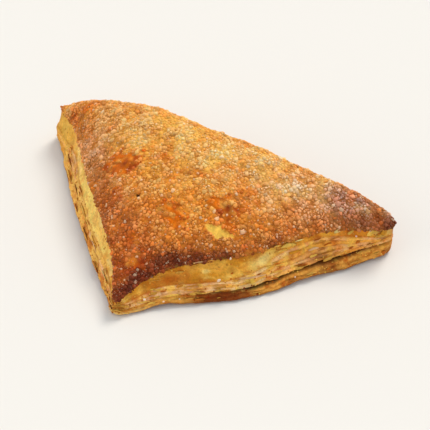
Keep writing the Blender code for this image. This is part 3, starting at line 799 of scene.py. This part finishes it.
def build_body():
    n_rings = len(RINGS)
    shift = np.array([CENTRE[0], CENTRE[1], 0.0])
    verts = RINGS.reshape(-1, 3) - shift
    crown = RINGS[0].mean(0) - shift
    foot = np.array([MIDDLE[0], MIDDLE[1], 0.0]) - shift
    verts = np.vstack([verts, crown, foot])
    i = np.arange(n_rings - 1)[:, None] * COLUMNS
    a = np.arange(COLUMNS)[None, :]
    b = (a + 1) % COLUMNS
    quads = np.stack([i + a, i + COLUMNS + a, i + COLUMNS + b, i + b], -1).reshape(-1, 4)
    j = np.arange(COLUMNS)
    crown_i, foot_i = n_rings * COLUMNS, n_rings * COLUMNS + 1
    last = (n_rings - 1) * COLUMNS
    tri_top = np.stack([np.full(COLUMNS, crown_i), j, (j + 1) % COLUMNS], -1)
    tri_bottom = np.stack([np.full(COLUMNS, foot_i), last + (j + 1) % COLUMNS, last + j], -1)
    tris = np.vstack([quads[:, [0, 1, 2]], quads[:, [0, 2, 3]], tri_top, tri_bottom])
    colour = np.vstack([COLOUR.reshape(-1, 3), COLOUR[0].mean(0), COLOUR[-1].mean(0)])
    gloss = np.concatenate([GLOSS.ravel(), [GLOSS[0].mean(), GLOSS[-1].mean()]])
    obj = new_object("body_crust", verts, tris, True, {"tone": colour, "shine": gloss})
    body_uv(obj, tris, n_rings)
    return obj, verts, tris


def body_uv(obj, tris, n_rings):
    """Own map for each zone: the top as its plan, the wall as three strips, the underside as its plan."""
    lo = cols["base"].min(0) - 4.0
    hi = cols["base"].max(0) + 4.0
    scale = 0.90 / (hi[0] - lo[0])
    uv_top = np.zeros((n_rings * COLUMNS + 2, 2))
    kinds = np.repeat(KINDS, COLUMNS)
    # the top opens out a little so that the steep roll over the fold keeps some texture
    for n in range(TOP_RINGS):
        t = (n + 1) / TOP_RINGS
        plan = np.array(MIDDLE) + t * (cols["edge"] - np.array(MIDDLE))
        uv_top[n * COLUMNS:(n + 1) * COLUMNS] = (plan - lo) * scale + 0.01
    uv_top[n_rings * COLUMNS] = (np.array(MIDDLE) - lo) * scale + 0.01
    small = 0.34 / (hi[0] - lo[0])
    for n in range(TOP_RINGS + WALL_RINGS - 1, n_rings):
        plan = RINGS[n][:, :2] if n >= TOP_RINGS + WALL_RINGS else cols["base"]
        uv_top[n * COLUMNS:(n + 1) * COLUMNS] = (plan - lo) * small + np.array([0.01, 0.80])
    uv_top[n_rings * COLUMNS + 1] = (np.array(MIDDLE) - lo) * small + np.array([0.01, 0.80])
    wall_rows = np.arange(TOP_RINGS - 1, TOP_RINGS + WALL_RINGS)
    side_of = cols["side"]
    starts = np.concatenate([[0.0], np.cumsum(line["lengths"])])
    row_of = np.repeat(np.arange(n_rings), COLUMNS)
    col_of = np.tile(np.arange(COLUMNS), n_rings)
    uv = np.zeros((len(tris) * 3, 2))
    flat = tris.ravel()
    row = np.where(flat < n_rings * COLUMNS, row_of[np.minimum(flat, n_rings * COLUMNS - 1)], -1)
    col = np.where(flat < n_rings * COLUMNS, col_of[np.minimum(flat, n_rings * COLUMNS - 1)], 0)
    uv[:] = uv_top[flat]
    tri_rows = row.reshape(-1, 3)
    tri_cols = col.reshape(-1, 3)
    is_wall = (tri_rows.min(1) >= TOP_RINGS - 1) & (tri_rows.max(1) <= TOP_RINGS + WALL_RINGS - 1)
    tc = tri_cols[is_wall].copy()
    wrap = tc.max(1) - tc.min(1) > COLUMNS // 2
    tc_s = cols["s"][tc]
    tc_s[wrap] = np.where(tc[wrap] < COLUMNS // 2, tc_s[wrap] + line["total"], tc_s[wrap])
    mid_s = np.minimum(tc_s.mean(1), line["total"] - 1e-3)
    side = np.searchsorted(starts, mid_s, side="right") - 1
    side = np.clip(side, 0, 2)
    along = (tc_s - starts[side][:, None]) / 178.0
    drop = (tri_rows[is_wall] - (TOP_RINGS - 1)) / WALL_RINGS
    u = 0.01 + 0.97 * (along + 0.005)
    v = 0.505 + side[:, None] * 0.095 + 0.088 * (1.0 - drop)
    uv3 = uv.reshape(-1, 3, 2)
    uv3[is_wall] = np.stack([u, v], -1)
    layer = obj.data.uv_layers.new(name="OFBake")
    layer.data.foreach_set("uv", np.clip(uv3.reshape(-1, 2), 0, 1).astype(np.float32).ravel())


# =================================================================================================
# Materials
# =================================================================================================
class Nodes:
    def __init__(self, name):
        self.material = bpy.data.materials.new(name)
        self.material.use_nodes = True
        self.tree = self.material.node_tree
        self.shader = self.tree.nodes["Principled BSDF"]

    def add(self, kind, **values):
        node = self.tree.nodes.new(kind)
        for key, value in values.items():
            if hasattr(node, key):
                setattr(node, key, value)
            else:
                node.inputs[key].default_value = value
        return node

    def link(self, a, b):
        self.tree.links.new(a, b)

    def noise(self, scale, detail=4.0, rough=0.6, stretch=None, distortion=0.0):
        place = self.tree.nodes.new("ShaderNodeTexCoord")
        out = place.outputs["Object"]
        if stretch is not None:
            mapping = self.add("ShaderNodeMapping")
            mapping.inputs["Scale"].default_value = stretch
            self.link(out, mapping.inputs["Vector"])
            out = mapping.outputs["Vector"]
        node = self.add("ShaderNodeTexNoise")
        node.inputs["Scale"].default_value = scale
        node.inputs["Detail"].default_value = detail
        node.inputs["Roughness"].default_value = rough
        node.inputs["Distortion"].default_value = distortion
        self.link(out, node.inputs["Vector"])
        return node.outputs["Fac"]

    def ramp(self, value, low, high, a, b):
        node = self.add("ShaderNodeMapRange")
        for key, x in zip(("From Min", "From Max", "To Min", "To Max"), (low, high, a, b)):
            node.inputs[key].default_value = x
        self.link(value, node.inputs["Value"])
        return node.outputs["Result"]

    def math(self, operation, a, b):
        node = self.add("ShaderNodeMath")
        node.operation = operation
        for socket, x in zip(node.inputs, (a, b)):
            if isinstance(x, (int, float)):
                socket.default_value = x
            else:
                self.link(x, socket)
        return node.outputs[0]

    def mix(self, fac, a, b, mode="MIX"):
        node = self.add("ShaderNodeMix")
        node.data_type = "RGBA"
        node.blend_type = mode
        sockets = [i for i in node.inputs if i.enabled]
        for socket, x in zip(sockets, (fac, a, b)):
            if isinstance(x, (int, float)):
                socket.default_value = x
            elif isinstance(x, (tuple, list)):
                socket.default_value = x
            else:
                self.link(x, socket)
        return [o for o in node.outputs if o.enabled][0]

    def attribute(self, name):
        node = self.add("ShaderNodeAttribute")
        node.attribute_name = name
        return node


def body_material():
    m = Nodes("baked_dough")
    tone = m.attribute("tone").outputs["Color"]
    shine = m.attribute("shine").outputs["Fac"]
    broad = m.noise(260.0, 5.0, 0.65)
    fine = m.noise(1300.0, 4.0, 0.7)
    light = m.ramp(broad, 0.35, 0.70, 0.78, 1.18)
    speck = m.ramp(fine, 0.30, 0.72, 0.80, 1.16)
    gain = m.math("MULTIPLY", light, speck)
    grey = m.add("ShaderNodeCombineColor")
    for k in range(3):
        m.link(gain, grey.inputs[k])
    colour = m.mix(1.0, tone, grey.outputs[0], "MULTIPLY")
    # freckles of deeper browning
    spots = m.ramp(m.noise(520.0, 3.0, 0.55, distortion=0.6), 0.60, 0.74, 0.0, 0.45)
    colour = m.mix(spots, colour, (0.20, 0.072, 0.020, 1.0))
    m.link(colour, m.shader.inputs["Base Color"])
    rough = m.math("SUBTRACT", m.ramp(broad, 0.3, 0.7, 0.66, 0.52), m.math("MULTIPLY", shine, 0.30))
    m.link(rough, m.shader.inputs["Roughness"])
    m.shader.inputs["Specular IOR Level"].default_value = 0.09
    m.shader.inputs["Subsurface Weight"].default_value = 0.10
    m.shader.inputs["Subsurface Radius"].default_value = (1.0, 0.45, 0.18)
    m.shader.inputs["Subsurface Scale"].default_value = 0.0012
    height = m.math("ADD", m.math("MULTIPLY", m.noise(900.0, 5.0, 0.65), 0.6), m.math("MULTIPLY", m.noise(2600.0, 3.0, 0.6), 0.25))
    bump = m.add("ShaderNodeBump")
    bump.inputs["Strength"].default_value = 0.55
    bump.inputs["Distance"].default_value = 0.00045
    m.link(height, bump.inputs["Height"])
    m.link(bump.outputs["Normal"], m.shader.inputs["Normal"])
    return m.material


def sugar_material(name, rough, coat):
    m = Nodes(name)
    tone = m.attribute("tone").outputs["Color"]
    fine = m.ramp(m.noise(1500.0, 3.0, 0.6), 0.3, 0.7, 0.86, 1.12)
    grey = m.add("ShaderNodeCombineColor")
    for k in range(3):
        m.link(fine, grey.inputs[k])
    m.link(m.mix(1.0, tone, grey.outputs[0], "MULTIPLY"), m.shader.inputs["Base Color"])
    m.link(m.ramp(m.noise(900.0, 2.0, 0.5), 0.35, 0.65, rough - 0.08, rough + 0.12), m.shader.inputs["Roughness"])
    m.shader.inputs["Subsurface Weight"].default_value = 0.25
    m.shader.inputs["Subsurface Radius"].default_value = (1.0, 0.6, 0.3)
    m.shader.inputs["Subsurface Scale"].default_value = 0.0010
    m.shader.inputs["Specular IOR Level"].default_value = 0.16
    m.shader.inputs["Coat Weight"].default_value = coat
    m.shader.inputs["Coat Roughness"].default_value = 0.10
    bump = m.add("ShaderNodeBump")
    bump.inputs["Strength"].default_value = 0.35
    bump.inputs["Distance"].default_value = 0.0002
    m.link(m.noise(3000.0, 2.0, 0.6), bump.inputs["Height"])
    m.link(bump.outputs["Normal"], m.shader.inputs["Normal"])
    return m.material


# =================================================================================================
# Sugar
# =================================================================================================
def template(kind):
    """Unit shapes for the grains, as arrays."""
    bm = bmesh.new()
    if kind == "lump":
        bmesh.ops.create_icosphere(bm, subdivisions=2, radius=1.0)
    elif kind == "nub":
        bmesh.ops.create_cube(bm, size=2.0)
        bmesh.ops.subdivide_edges(bm, edges=bm.edges[:], cuts=1, use_grid_fill=True)
        bmesh.ops.triangulate(bm, faces=bm.faces[:])
    else:
        bmesh.ops.create_icosphere(bm, subdivisions=1, radius=1.0)
    v = np.array([tuple(x.co) for x in bm.verts])
    f = np.array([[x.index for x in face.verts] for face in bm.faces])
    bm.free()
    if kind == "nub":
        v = v / (np.abs(v) ** 4.0).sum(1)[:, None] ** (1.0 / 4.0)
    return v, f


def surface_samples(verts, tris, weight, count, rng):
    """Random points on the faces, with a probability of area times weight (per vertex), and their normals."""
    a, b, c = verts[tris[:, 0]], verts[tris[:, 1]], verts[tris[:, 2]]
    cross = np.cross(b - a, c - a)
    area = np.linalg.norm(cross, axis=1) / 2.0
    w = area * weight[tris].mean(1)
    pick = rng.choice(len(tris), size=count, p=w / w.sum())
    r1, r2 = np.sqrt(rng.random(count)), rng.random(count)
    p = a[pick] * (1 - r1)[:, None] + b[pick] * (r1 * (1 - r2))[:, None] + c[pick] * (r1 * r2)[:, None]
    n = cross[pick] / np.maximum(2.0 * area[pick], 1e-9)[:, None]
    return p, n, pick, area @ np.ones(len(area))


def spread(p, gap, taken=None):
    """Keeps points in order, each at least its gap from those kept before."""
    cell = float(np.max(gap))
    grid = {}
    keep = []
    if taken is not None:
        for q, g in taken:
            grid.setdefault((int(q[0] // cell), int(q[1] // cell), int(q[2] // cell)), []).append((q[0], q[1], q[2], g))
    for i in range(len(p)):
        x, y, z = p[i]
        g = gap[i]
        cx, cy, cz = int(x // cell), int(y // cell), int(z // cell)
        ok = True
        for dx in (-1, 0, 1):
            for dy in (-1, 0, 1):
                for dz in (-1, 0, 1):
                    for qx, qy, qz, qg in grid.get((cx + dx, cy + dy, cz + dz), ()):
                        lim = 0.5 * (g + qg)
                        if (x - qx) ** 2 + (y - qy) ** 2 + (z - qz) ** 2 < lim * lim:
                            ok = False
                            break
                    if not ok:
                        break
                if not ok:
                    break
            if not ok:
                break
        if ok:
            grid.setdefault((cx, cy, cz), []).append((x, y, z, g))
            keep.append(i)
    return np.array(keep)


def grains(name, kind, p, n, size, tint, rng, flat=0.78, sink=0.18, smooth=True, material=None, foot=None):
    """One mesh of many grains; size is the half-width in mm, tint the linear colour of each, foot that of its lower
    part, darker than the top as painted shade.
    """
    v0, f0 = template(kind)
    count = len(p)
    # local frame on each normal
    ref = np.where(np.abs(n[:, 2:3]) < 0.9, np.array([[0, 0, 1.0]]), np.array([[1.0, 0, 0]]))
    t = np.cross(ref, n)
    t /= np.linalg.norm(t, axis=1)[:, None]
    b = np.cross(n, t)
    spin = rng.random(count) * 2 * np.pi
    t, b = t * np.cos(spin)[:, None] + b * np.sin(spin)[:, None], b * np.cos(spin)[:, None] - t * np.sin(spin)[:, None]
    # each grain: random tumble, uneven stretch, gentle dents
    tumble = rng.normal(size=(count, 3, 3))
    q = np.linalg.qr(tumble)[0]
    k = rng.normal(size=(count, 3)) * 1.6
    dent = 1.0 + 0.16 * np.sin(np.einsum("nk,vk->nv", k, v0) + rng.random(count)[:, None] * 6.28)
    dent *= 1.0 + 0.07 * rng.normal(size=(count, len(v0)))
    stretch = rng.uniform(0.72, 1.22, size=(count, 1, 3))
    shape = v0[None] * dent[..., None] * stretch
    shape = np.einsum("nij,nvj->nvi", q, shape)
    local = shape * size[:, None, None]
    top = np.clip(local[..., 2] / size[:, None] / 0.85, -1.0, 1.0)
    local[..., 2] *= flat
    world = local[..., 0:1] * t[:, None] + local[..., 1:2] * b[:, None] + local[..., 2:3] * n[:, None]
    world = world + (p + n * (size * sink)[:, None])[:, None]
    verts = world.reshape(-1, 3)
    faces = (f0[None] + (np.arange(count) * len(v0))[:, None, None]).reshape(-1, 3)
    colour = np.repeat(tint, len(v0), 0)
    # painted shade: each grain's lower part darkens to the foot colour, while its top keeps the tint
    if foot is not None:
        colour = blend(np.repeat(foot, len(v0), 0), colour, step_up(-0.15, 0.85, top).reshape(-1))
    across = int(math.ceil(math.sqrt(count)))
    cell = 1.0 / across
    own = (np.stack([np.arange(count) % across, np.arange(count) // across], -1) + 0.5) * cell
    spot = v0[:, :2] * 0.30 * cell
    uv = (own[:, None] + spot[None]).reshape(-1, 2)
    obj = new_object(name, verts, faces, smooth, {"tone": colour}, uv)
    obj.data.materials.append(material)
    return obj


def build_sugar(verts, tris):
    rng = np.random.default_rng(11)
    weight = np.concatenate([SUGAR.ravel(), [SUGAR[0].mean(), 0.0]])
    made = []
    # coarse lumps, then medium between them, then fine over everything
    plans = [
        ("sugar_coarse", "nub", 12000, 3900, (0.50, 1.10), 1.34, -0.22, 0.62, "coarse"),
        ("sugar_medium", "nub", 24000, 4100, (0.32, 0.68), 0.92, -0.08, 0.70, "medium"),
        ("sugar_fine", "fleck", 40000, 9900, (0.16, 0.33), 0.52, 0.20, 0.90, "fine"),
    ]
    taken = []
    for name, kind, tries, most, sizes, spacing, sink, flat, label in plans:
        w = weight**1.5 if label == "coarse" else weight if label == "medium" else 0.12 * (weight > 0.02) + weight**1.3
        p, n, pick, _ = surface_samples(verts, tris, w, tries, rng)
        size = rng.uniform(sizes[0], sizes[1], tries)
        gap = spacing * (size / np.mean(sizes))
        keep = spread(p, gap, taken if label != "fine" else None)[:most]
        p, n, size, gap = p[keep], n[keep], size[keep], gap[keep]
        if label != "fine":
            taken += [(tuple(q), g) for q, g in zip(p, gap * 0.80)]
        skin, grain, density, shine, amber, pale, dark, cluster = skin_and_grain_colour(p[:, :2])
        count = len(p)
        bright = rng.normal(1.03, 0.26, size=(count, 1)).clip(0.62, 1.65)
        warm = rng.normal(0.03, 0.09, size=(count, 1)).clip(-0.05, 0.30)
        tint = grain * bright * np.concatenate([1 + 0.3 * warm, 1 - 0.7 * warm, 1 - 1.5 * warm], 1)
        # some are clear and take the crust's colour; a few are paler, as painted glints, more of them over the dark
        # crust
        clear = rng.random(count) < 0.22
        tint = np.where(clear[:, None], blend(tint, skin * 1.1, np.full(count, 0.6)), tint)
        glint_grains = rng.random(count) < {"coarse": 0.02, "medium": 0.05, "fine": 0.16}[label] * (1.0 + 1.8 * dark)
        tint = np.where(glint_grains[:, None], blend(tint, np.array([0.92, 0.70, 0.46]) * np.ones_like(tint), 0.52 * (1.0 - 0.40 * dark)), tint)
        tint = limit(tint)
        material = sugar_material(name, 0.42 if label != "fine" else 0.22, 0.0 if label != "fine" else 0.35)
        # the grains' foot colour: the skin's caramel mixed with the grain, darkened as painted shade
        foot = limit(skin * np.array([0.95, 0.92, 0.82]) * 0.62 + tint * 0.28)
        obj = grains(name, kind, p, n, size, tint, rng, flat, sink, label != "fine", material, foot)
        print(name, count, "grains", len(obj.data.polygons), "triangles")
        made.append(obj)
    return made


def wall_points(count, rng, rows, weight_of):
    """Random points on the cut edges between the given height shares, with their outward normals."""
    n = len(cols["u"])
    cut = np.nonzero(cols["cut"] > 0.8)[0]
    picks = []
    while len(picks) < count:
        i = int(rng.choice(cut))
        v = float(rng.uniform(*rows))
        if rng.random() < weight_of(cols["side"][i], cols["u"][i], v, i):
            picks.append((i, v))
    i = np.array([a for a, _ in picks])
    v = np.array([b for _, b in picks])
    row = TOP_RINGS + WALL_RINGS * (1.0 - v) - 1.0
    low = np.clip(np.floor(row).astype(int), TOP_RINGS - 1, TOP_RINGS + WALL_RINGS - 2)
    t = (row - low)[:, None]
    p = RINGS[low, i] * (1 - t) + RINGS[low + 1, i] * t - np.array([CENTRE[0], CENTRE[1], 0.0])
    out = np.column_stack([cols["out"][i], np.zeros(len(i))])
    along = np.column_stack([-cols["out"][i][:, 1], cols["out"][i][:, 0], np.zeros(len(i))])
    return p, out, along, i, v


def plates(name, p, out, along, half, tilt, bend, tint, rng, material):
    """Thin curled leaves of dough, each a closed lens lying against the wall with one edge lifted."""
    v0, f0 = template("lump")
    count = len(p)
    k = rng.normal(size=(count, 3)) * 1.5
    wob = 1.0 + 0.22 * np.sin(np.einsum("nk,vk->nv", k, v0) + rng.random(count)[:, None] * 6.28)
    wob = wob + 0.08 * rng.normal(size=wob.shape)
    x = v0[None, :, 0] * half[:, 0:1] * wob
    y = v0[None, :, 1] * half[:, 1:2] * wob
    z = v0[None, :, 2] * half[:, 2:3] + bend[:, None] * (y / half[:, 1:2]) ** 2 + 0.25 * bend[:, None] * np.sin(2.0 * x + k[:, 0:1])
    up = np.array([0.0, 0.0, 1.0])
    lean = out * np.sin(tilt)[:, None] + up * np.cos(tilt)[:, None]
    face = out * np.cos(tilt)[:, None] - up * np.sin(tilt)[:, None]
    world = x[..., None] * along[:, None] + y[..., None] * lean[:, None] + z[..., None] * face[:, None] + p[:, None]
    verts = world.reshape(-1, 3)
    faces = (f0[None] + (np.arange(count) * len(v0))[:, None, None]).reshape(-1, 3)
    tip = np.clip(0.5 + 0.5 * v0[:, 1], 0, 1)
    shade = tint[:, None] * (1.0 - 0.35 * tip[None, :, None] * rng.random((count, 1, 1)))
    obj = new_object(name, verts, faces, True, {"tone": shade.reshape(-1, 3), "shine": np.full(len(verts), 0.2)})
    obj.data.materials.append(material)
    return obj


# way along the front, height share, half length, half width, tilt, curl, tone
NAMED_FLAKES = [
    (0.612, 0.80, 3.8, 1.5, 0.15, -0.55, "band_light"), (0.632, 0.70, 3.0, 0.9, 0.10, 0.20, "band"),
    (0.805, 0.90, 2.6, 1.5, 0.10, 0.10, "cream"), (0.845, 0.84, 1.6, 1.1, 0.05, 0.10, "band_light"),
    (0.912, 0.82, 3.0, 1.9, 0.05, 0.12, "band_light"), (0.945, 0.80, 2.0, 1.8, 0.0, 0.1, "band"),
    (0.70, 0.62, 2.4, 1.0, 0.2, -0.2, "leaf_pink"), (0.75, 0.66, 2.0, 0.9, 0.3, -0.3, "leaf_brown"),
    (0.47, 0.44, 5.0, 0.7, 0.15, 0.1, "leaf_pink"), (0.27, 0.35, 4.0, 0.6, 0.2, 0.1, "leaf"),
    (0.20, 0.24, 3.2, 0.8, 0.35, -0.2, "band_light"), (0.10, 0.30, 2.6, 0.8, 0.3, -0.2, "band_light"),
    (0.30, 0.97, 2.8, 0.6, 0.9, -0.3, "leaf_pink"), (0.335, 0.95, 2.0, 0.6, 0.8, -0.3, "leaf"),
    (0.66, 0.93, 1.8, 0.7, 0.6, 0.2, "cream"), (0.57, 0.95, 1.5, 0.6, 0.7, 0.2, "band_light"),
]
# the same for the left side
NAMED_FLAKES_LEFT = [
    (0.24, 0.30, 4.2, 1.7, 0.45, -0.4, "leaf_brown"), (0.30, 0.16, 3.6, 1.5, 0.50, -0.4, "band_light"),
    (0.40, 0.26, 4.5, 1.4, 0.40, -0.3, "leaf"), (0.47, 0.10, 3.4, 1.2, 0.55, -0.3, "leaf_brown"),
    (0.53, 0.34, 5.5, 1.2, 0.30, -0.3, "band_light"), (0.62, 0.15, 4.2, 1.5, 0.50, -0.4, "leaf"),
    (0.70, 0.32, 4.2, 1.0, 0.35, -0.3, "leaf_pink"), (0.78, 0.14, 3.6, 1.4, 0.50, -0.3, "leaf_brown"),
    (0.84, 0.38, 3.4, 1.1, 0.35, -0.3, "cream"), (0.90, 0.20, 3.0, 1.2, 0.45, -0.3, "leaf"),
]
# way along the front, height share, size: white sugar lumps caught on the cut edge
NAMED_LUMPS = [(0.352, 0.45, 0.75), (0.105, 0.34, 0.65), (0.165, 0.13, 0.5), (0.62, 0.10, 0.45), (0.40, 0.93, 0.6), (0.53, 0.92, 0.55), (0.22, 0.12, 0.4), (0.86, 0.72, 0.5)]


def front_points(table, side=0):
    """Points on a cut edge at the ways along and height shares named in a table."""
    on = np.nonzero(cols["side"] == side)[0]
    i = np.array([on[np.argmin(np.abs(cols["u"][on] - row[0]))] for row in table])
    n = np.clip(np.round(TOP_RINGS + WALL_RINGS * (1.0 - np.array([row[1] for row in table])) - 1.0).astype(int), TOP_RINGS, TOP_RINGS + WALL_RINGS - 1)
    p = RINGS[n, i] - np.array([CENTRE[0], CENTRE[1], 0.0])
    out = np.column_stack([cols["out"][i], np.zeros(len(i))])
    along = np.column_stack([-cols["out"][i][:, 1], cols["out"][i][:, 0], np.zeros(len(i))])
    return p, out, along


def build_flakes(material):
    rng = np.random.default_rng(23)
    made = []

    def likely(side, u, v, i):
        edges = LEAF_ROWS[:, i]
        near = np.min(np.abs(edges[1:-1] - v))
        return (0.9 if near < 0.03 else 0.06) * (1.0 if side == 0 else 0.22)

    p, out, along, i, v = wall_points(120, rng, (0.06, 0.86), likely)
    count = len(p)
    half = np.column_stack([rng.uniform(1.0, 3.2, count), rng.uniform(0.45, 1.1, count), rng.uniform(0.09, 0.16, count)])
    tilt = rng.uniform(-0.2, 0.75, count)
    bend = rng.uniform(-0.35, 0.25, count)
    p = p + out * rng.uniform(0.02, 0.30, count)[:, None]
    mix = rng.random(count)
    tint = blend(np.tile(WALL_TONES["band_light"], (count, 1)), np.tile(WALL_TONES["leaf_brown"], (count, 1)), mix**1.2)
    named = [np.vstack(pair) for pair in zip(front_points(NAMED_FLAKES), front_points(NAMED_FLAKES_LEFT, 2))]
    table = NAMED_FLAKES + NAMED_FLAKES_LEFT
    p = np.vstack([p, named[0] + 0.25 * named[1]])
    out, along = np.vstack([out, named[1]]), np.vstack([along, named[2]])
    half = np.vstack([half, [[row[2], row[3], 0.16] for row in table]])
    tilt = np.concatenate([tilt, [row[4] for row in table]])
    bend = np.concatenate([bend, [row[5] for row in table]])
    tint = np.vstack([tint, [WALL_TONES[row[6]] for row in table]])
    made.append(plates("flakes", p, out, along, half, tilt, bend, tint, rng, material))

    def low(side, u, v, i):
        return 1.0 if v < 0.5 else 0.25

    p, out, along, i, v = wall_points(900, rng, (0.04, 0.97), low)
    count = len(p)
    mix = rng.random(count)
    burnt = (cols["side"][i] == 0) & (np.abs(cols["u"][i] - 0.36) < 0.12) & (v < 0.25)
    tint = blend(np.tile(WALL_TONES["band_light"], (count, 1)), np.tile(WALL_TONES["leaf_brown"], (count, 1)), mix)
    tint = np.where(burnt[:, None], WALL_TONES["red"] * 1.4, tint)
    obj = grains("crumbs", "fleck", p, out, rng.uniform(0.18, 0.50, count), tint, rng, 0.7, 0.0, True, material)
    made.append(obj)
    return made


# =================================================================================================
# Build
# =================================================================================================
body, BODY_VERTS, BODY_TRIS = build_body()
body.data.materials.append(body_material())
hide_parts("pastry")
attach(body, "root")
for obj in build_flakes(body.data.materials[0]):
    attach(obj, "root")
sugar = build_sugar(BODY_VERTS, BODY_TRIS)
p, out, _ = front_points(NAMED_LUMPS)
sugar.append(grains("sugar_caught", "lump", p, out, np.array([row[2] for row in NAMED_LUMPS]), np.tile(srgb(244, 214, 186), (len(p), 1)), np.random.default_rng(5), 0.8, 0.2, True, sugar[0].data.materials[0]))
for obj in sugar:
    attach(obj, "root")

# =================================================================================================
# Floor, light and camera
# =================================================================================================
scene = bpy.context.scene
scene.view_settings.view_transform = "Standard"


def build_stage():
    bm = bmesh.new()
    bmesh.ops.create_grid(bm, x_segments=8, y_segments=8, size=40.0)
    mesh = bpy.data.meshes.new("floor")
    bm.to_mesh(mesh)
    bm.free()
    floor = bpy.data.objects.new("floor", mesh)
    scene.collection.objects.link(floor)
    floor.location = (0.0, 0.0, 0.0)
    m = Nodes("floor_paint")
    m.shader.inputs["Roughness"].default_value = 0.9
    m.shader.inputs["Specular IOR Level"].default_value = 0.0
    shade = m.ramp(m.noise(1.0, 1.0, 0.5), 0.3, 0.7, 0.998, 1.0)
    grey = m.add("ShaderNodeCombineColor")
    for k in range(3):
        m.link(shade, grey.inputs[k])
    m.link(m.mix(1.0, grey.outputs[0], (0.79, 0.755, 0.695, 1.0), "MULTIPLY"), m.shader.inputs["Base Color"])
    mesh.materials.append(m.material)
    return floor


def soft_light(name, place, spread_angle, strength, colour):
    """A distant soft light, so that the floor is equally bright all over."""
    data = bpy.data.lights.new(name, "SUN")
    data.angle = spread_angle
    data.energy = strength
    data.color = colour
    obj = bpy.data.objects.new(name, data)
    scene.collection.objects.link(obj)
    obj.location = place
    obj.rotation_euler = (-Vector(place)).to_track_quat("-Z", "Y").to_euler()
    return obj


def build_world(horizon, zenith):
    """A soft sky: the floor's own tone at eye level, cooler overhead."""
    world = bpy.data.worlds.new("studio")
    world.use_nodes = True
    tree = world.node_tree
    back = tree.nodes["Background"]
    place = tree.nodes.new("ShaderNodeTexCoord")
    split = tree.nodes.new("ShaderNodeSeparateXYZ")
    climb = tree.nodes.new("ShaderNodeMapRange")
    climb.inputs["From Min"].default_value = 0.10
    climb.inputs["From Max"].default_value = 0.80
    sky = tree.nodes.new("ShaderNodeMix")
    sky.data_type = "RGBA"
    sockets = [i for i in sky.inputs if i.enabled]
    sockets[1].default_value = (*horizon, 1.0)
    sockets[2].default_value = (*zenith, 1.0)
    tree.links.new(place.outputs["Generated"], split.inputs[0])
    tree.links.new(split.outputs["Z"], climb.inputs["Value"])
    tree.links.new(climb.outputs["Result"], sockets[0])
    tree.links.new([o for o in sky.outputs if o.enabled][0], back.inputs["Color"])
    back.inputs["Strength"].default_value = 1.0
    scene.world = world


CAMERA_AZ, CAMERA_EL, CAMERA_FAR, FOCAL_PX = 27.94, 43.43, 0.50, 1150.0
TARGET = (0.0158 - CENTRE[0] * MM, 0.0148 - CENTRE[1] * MM, 0.012)


def build_camera():
    az, el = math.radians(CAMERA_AZ), math.radians(CAMERA_EL)
    back = Vector((math.sin(az) * math.cos(el), -math.cos(az) * math.cos(el), math.sin(el)))
    data = bpy.data.cameras.new("camera")
    data.sensor_width = 36.0
    data.lens = FOCAL_PX / 430.0 * 36.0
    data.clip_start = 0.01
    obj = bpy.data.objects.new("camera", data)
    scene.collection.objects.link(obj)
    obj.location = Vector(TARGET) + back * CAMERA_FAR
    obj.rotation_euler = (-back).to_track_quat("-Z", "Y").to_euler()
    scene.camera = obj
    return obj


build_stage()
build_world((0.921, 0.888, 0.815), (0.602, 0.666, 0.762))
RIGHTWARD = Vector((math.cos(math.radians(28)), math.sin(math.radians(28)), 0.0))
FORWARD = Vector((-math.sin(math.radians(28)), math.cos(math.radians(28)), 0.0))
UP = Vector((0.0, 0.0, 1.0))
soft_light("key", RIGHTWARD * 0.66 + FORWARD * 0.84 + UP * 1.18, 0.44, 1.99, (1.0, 0.955, 0.89))
soft_light("fill", -RIGHTWARD * 1.10 - FORWARD * 0.30 + UP * 0.50, 0.70, 0.46, (1.0, 0.95, 0.86))
build_camera()

bpy.context.view_layer.update()
